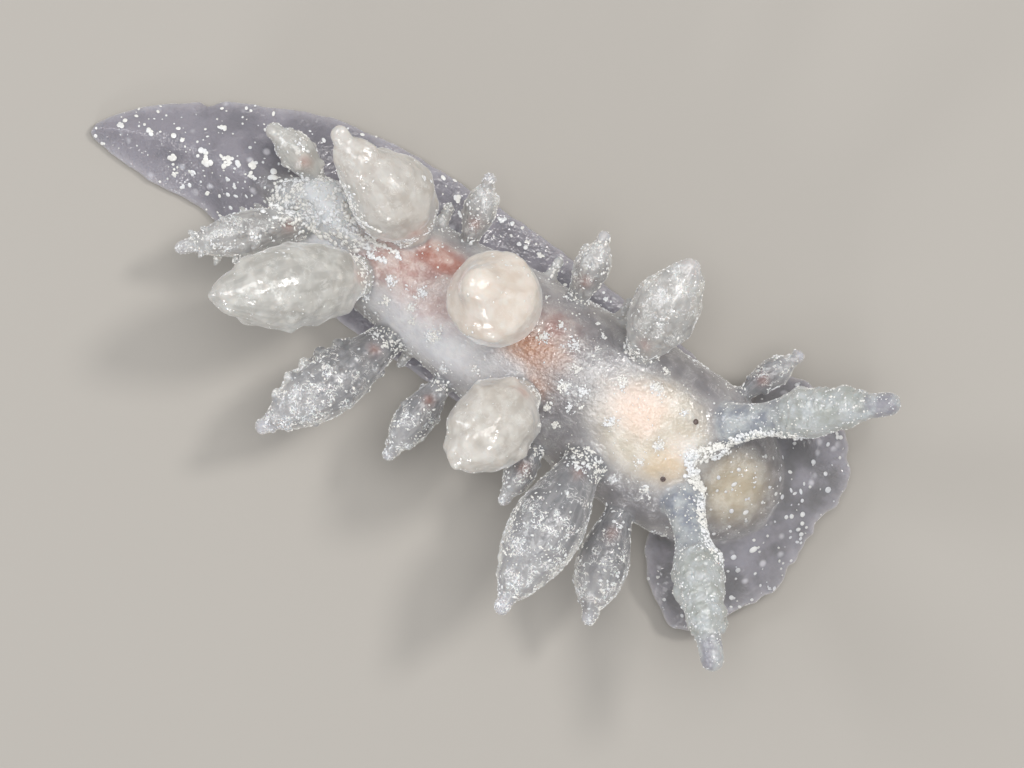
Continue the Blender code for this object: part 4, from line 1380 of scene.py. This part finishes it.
def make_veil_spots(surface):
    """Set the round white spots of the veil and the snout."""
    grains = Grains(surface)
    for x, y, radius in FRONT_SPOTS:
        places, normals = surface.drop([(x, y)])
        grains.parts.append((places, normals, np.full(len(places), radius * SPOT_SHARE)))
    veil = ((surface.kind == "veil") & (surface.ups[:, 2] > 0.2)).astype(float)
    grains.strew(veil, 70, 0.02, 0.065)
    ahead = surface.centres[:, 0] > SNOUT_START
    snout = ((surface.kind == "body") & ahead & (surface.ups[:, 2] > 0.3)).astype(float)
    grains.strew(snout, 16, 0.03, 0.06)
    grains.strew(veil * surface.values["rim"], 70, 0.02, 0.06)
    return grains.mesh("spots_veil", flatness=0.2, rounds=2, uneven_by=0.06)


def make_eye(name, x, y, material, surface):
    """Make one eye: a small dark ball that just shows through the skin."""
    ball, faces = ball_shape(3)
    places, _ = surface.drop([(x, y)])
    centre = places[0] + (0, 0, EYE_PROUD - EYE_RADIUS)
    obj = new_object(name + "_ball", ball * EYE_RADIUS + centre, faces.tolist())
    obj.data.shade_smooth()
    finish_piece(obj, material, "eye", name)


def eye_material():
    n = Nodes("eye")
    colour = n.mix(n.step(n.noise(0.05, 1.0), 0.4, 0.6), (80, 68, 66), (112, 98, 94))
    return n.finish(Base_Color=colour, Roughness=0.55, Coat_Weight=0.15, Coat_Roughness=0.1)


def make_animal():
    forms = gather_forms()
    skin = make_skin(forms)
    values, hard = mark_skin(skin, forms)
    shape_skin(skin, values, hard)
    surface = Surface(skin, hard, values)
    white = granule_material("granules", (252, 253, 255), (255, 253, 248), 0.15, 1.0)
    milky = granule_material("spots", (236, 236, 242), (246, 244, 242), 0.6, 0.3)
    for make, material, slot in (
            (make_ceras_granules, white, "ceras_clear"), (make_feeler_granules, white, "rhinophore"),
            (make_back_granules, white, "body"), (make_sole_spots, white, "sole"),
            (make_veil_spots, milky, "veil")):
        finish_piece(make(surface), material, slot)
    flesh = [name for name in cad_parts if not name.startswith("eye")]
    skin.data.shade_smooth()
    finish_piece(skin, skin_material(), "body", *flesh)
    material = eye_material()
    for name, x, y in EYES:
        make_eye(name, x, y, material, surface)


# Floor, in metres: half its side, and how far it lies below the sole
FLOOR_REACH = 1.5
FLOOR_GAP = 0.00001
# Round soft lights: (name, place, size, power, colour), in metres and watts, and the place they point at
LIGHT_TARGET = (0.001, 0.0, 0.002)
LIGHTS = [
    ("overhead", (0.01, 0.03, 0.26), 0.16, 0.25, (1.0, 0.99, 0.97)),
    ("key", (0.05, 0.09, 0.15), 0.035, 0.09, (1.0, 0.98, 0.95)),
    ("fill", (-0.14, -0.03, 0.12), 0.08, 0.075, (0.95, 0.97, 1.0)),
    ("rim", (0.03, -0.14, 0.06), 0.03, 0.03, (1.0, 1.0, 1.0)),
]


def make_floor():
    corners = [(-1, -1), (1, -1), (1, 1), (-1, 1)]
    floor = new_object("floor", [(x * FLOOR_REACH, y * FLOOR_REACH, 0) for x, y in corners], [(0, 1, 2, 3)])
    floor.location.z = -FLOOR_GAP
    floor.data.materials.append(Nodes("floor").finish(Base_Color=srgb(184, 179, 172), Roughness=0.85))


def make_lights():
    for name, place, size, power, colour in LIGHTS:
        light = bpy.data.lights.new(name, "AREA")
        light.shape = "DISK"
        light.size = size
        light.energy = power
        light.color = colour
        obj = add_object(name, light)
        obj.location = place
        obj.rotation_euler = (Vector(LIGHT_TARGET) - Vector(place)).to_track_quat("-Z", "Y").to_euler()
    bpy.context.scene.view_settings.view_transform = "Standard"
    world = bpy.data.worlds.new("studio")
    world.use_nodes = True
    background = world.node_tree.nodes["Background"]
    background.inputs["Color"].default_value = (0.95, 0.97, 1.0, 1.0)
    background.inputs["Strength"].default_value = 0.40
    bpy.context.scene.world = world


def make_camera():
    camera = bpy.data.cameras.new("camera")
    camera.lens = LENS
    camera.sensor_width = SENSOR
    camera.clip_start = 0.01
    camera.clip_end = 10.0
    obj = add_object("camera", camera)
    height = VIEW_HEIGHT + VIEW_WIDTH * LENS / SENSOR
    obj.location = Vector((*VIEW_CENTRE, height)) * MM
    obj.rotation_euler = (0.0, 0.0, math.radians(VIEW_TURN))
    bpy.context.scene.camera = obj


make_camera()
make_lights()
make_floor()
make_animal()
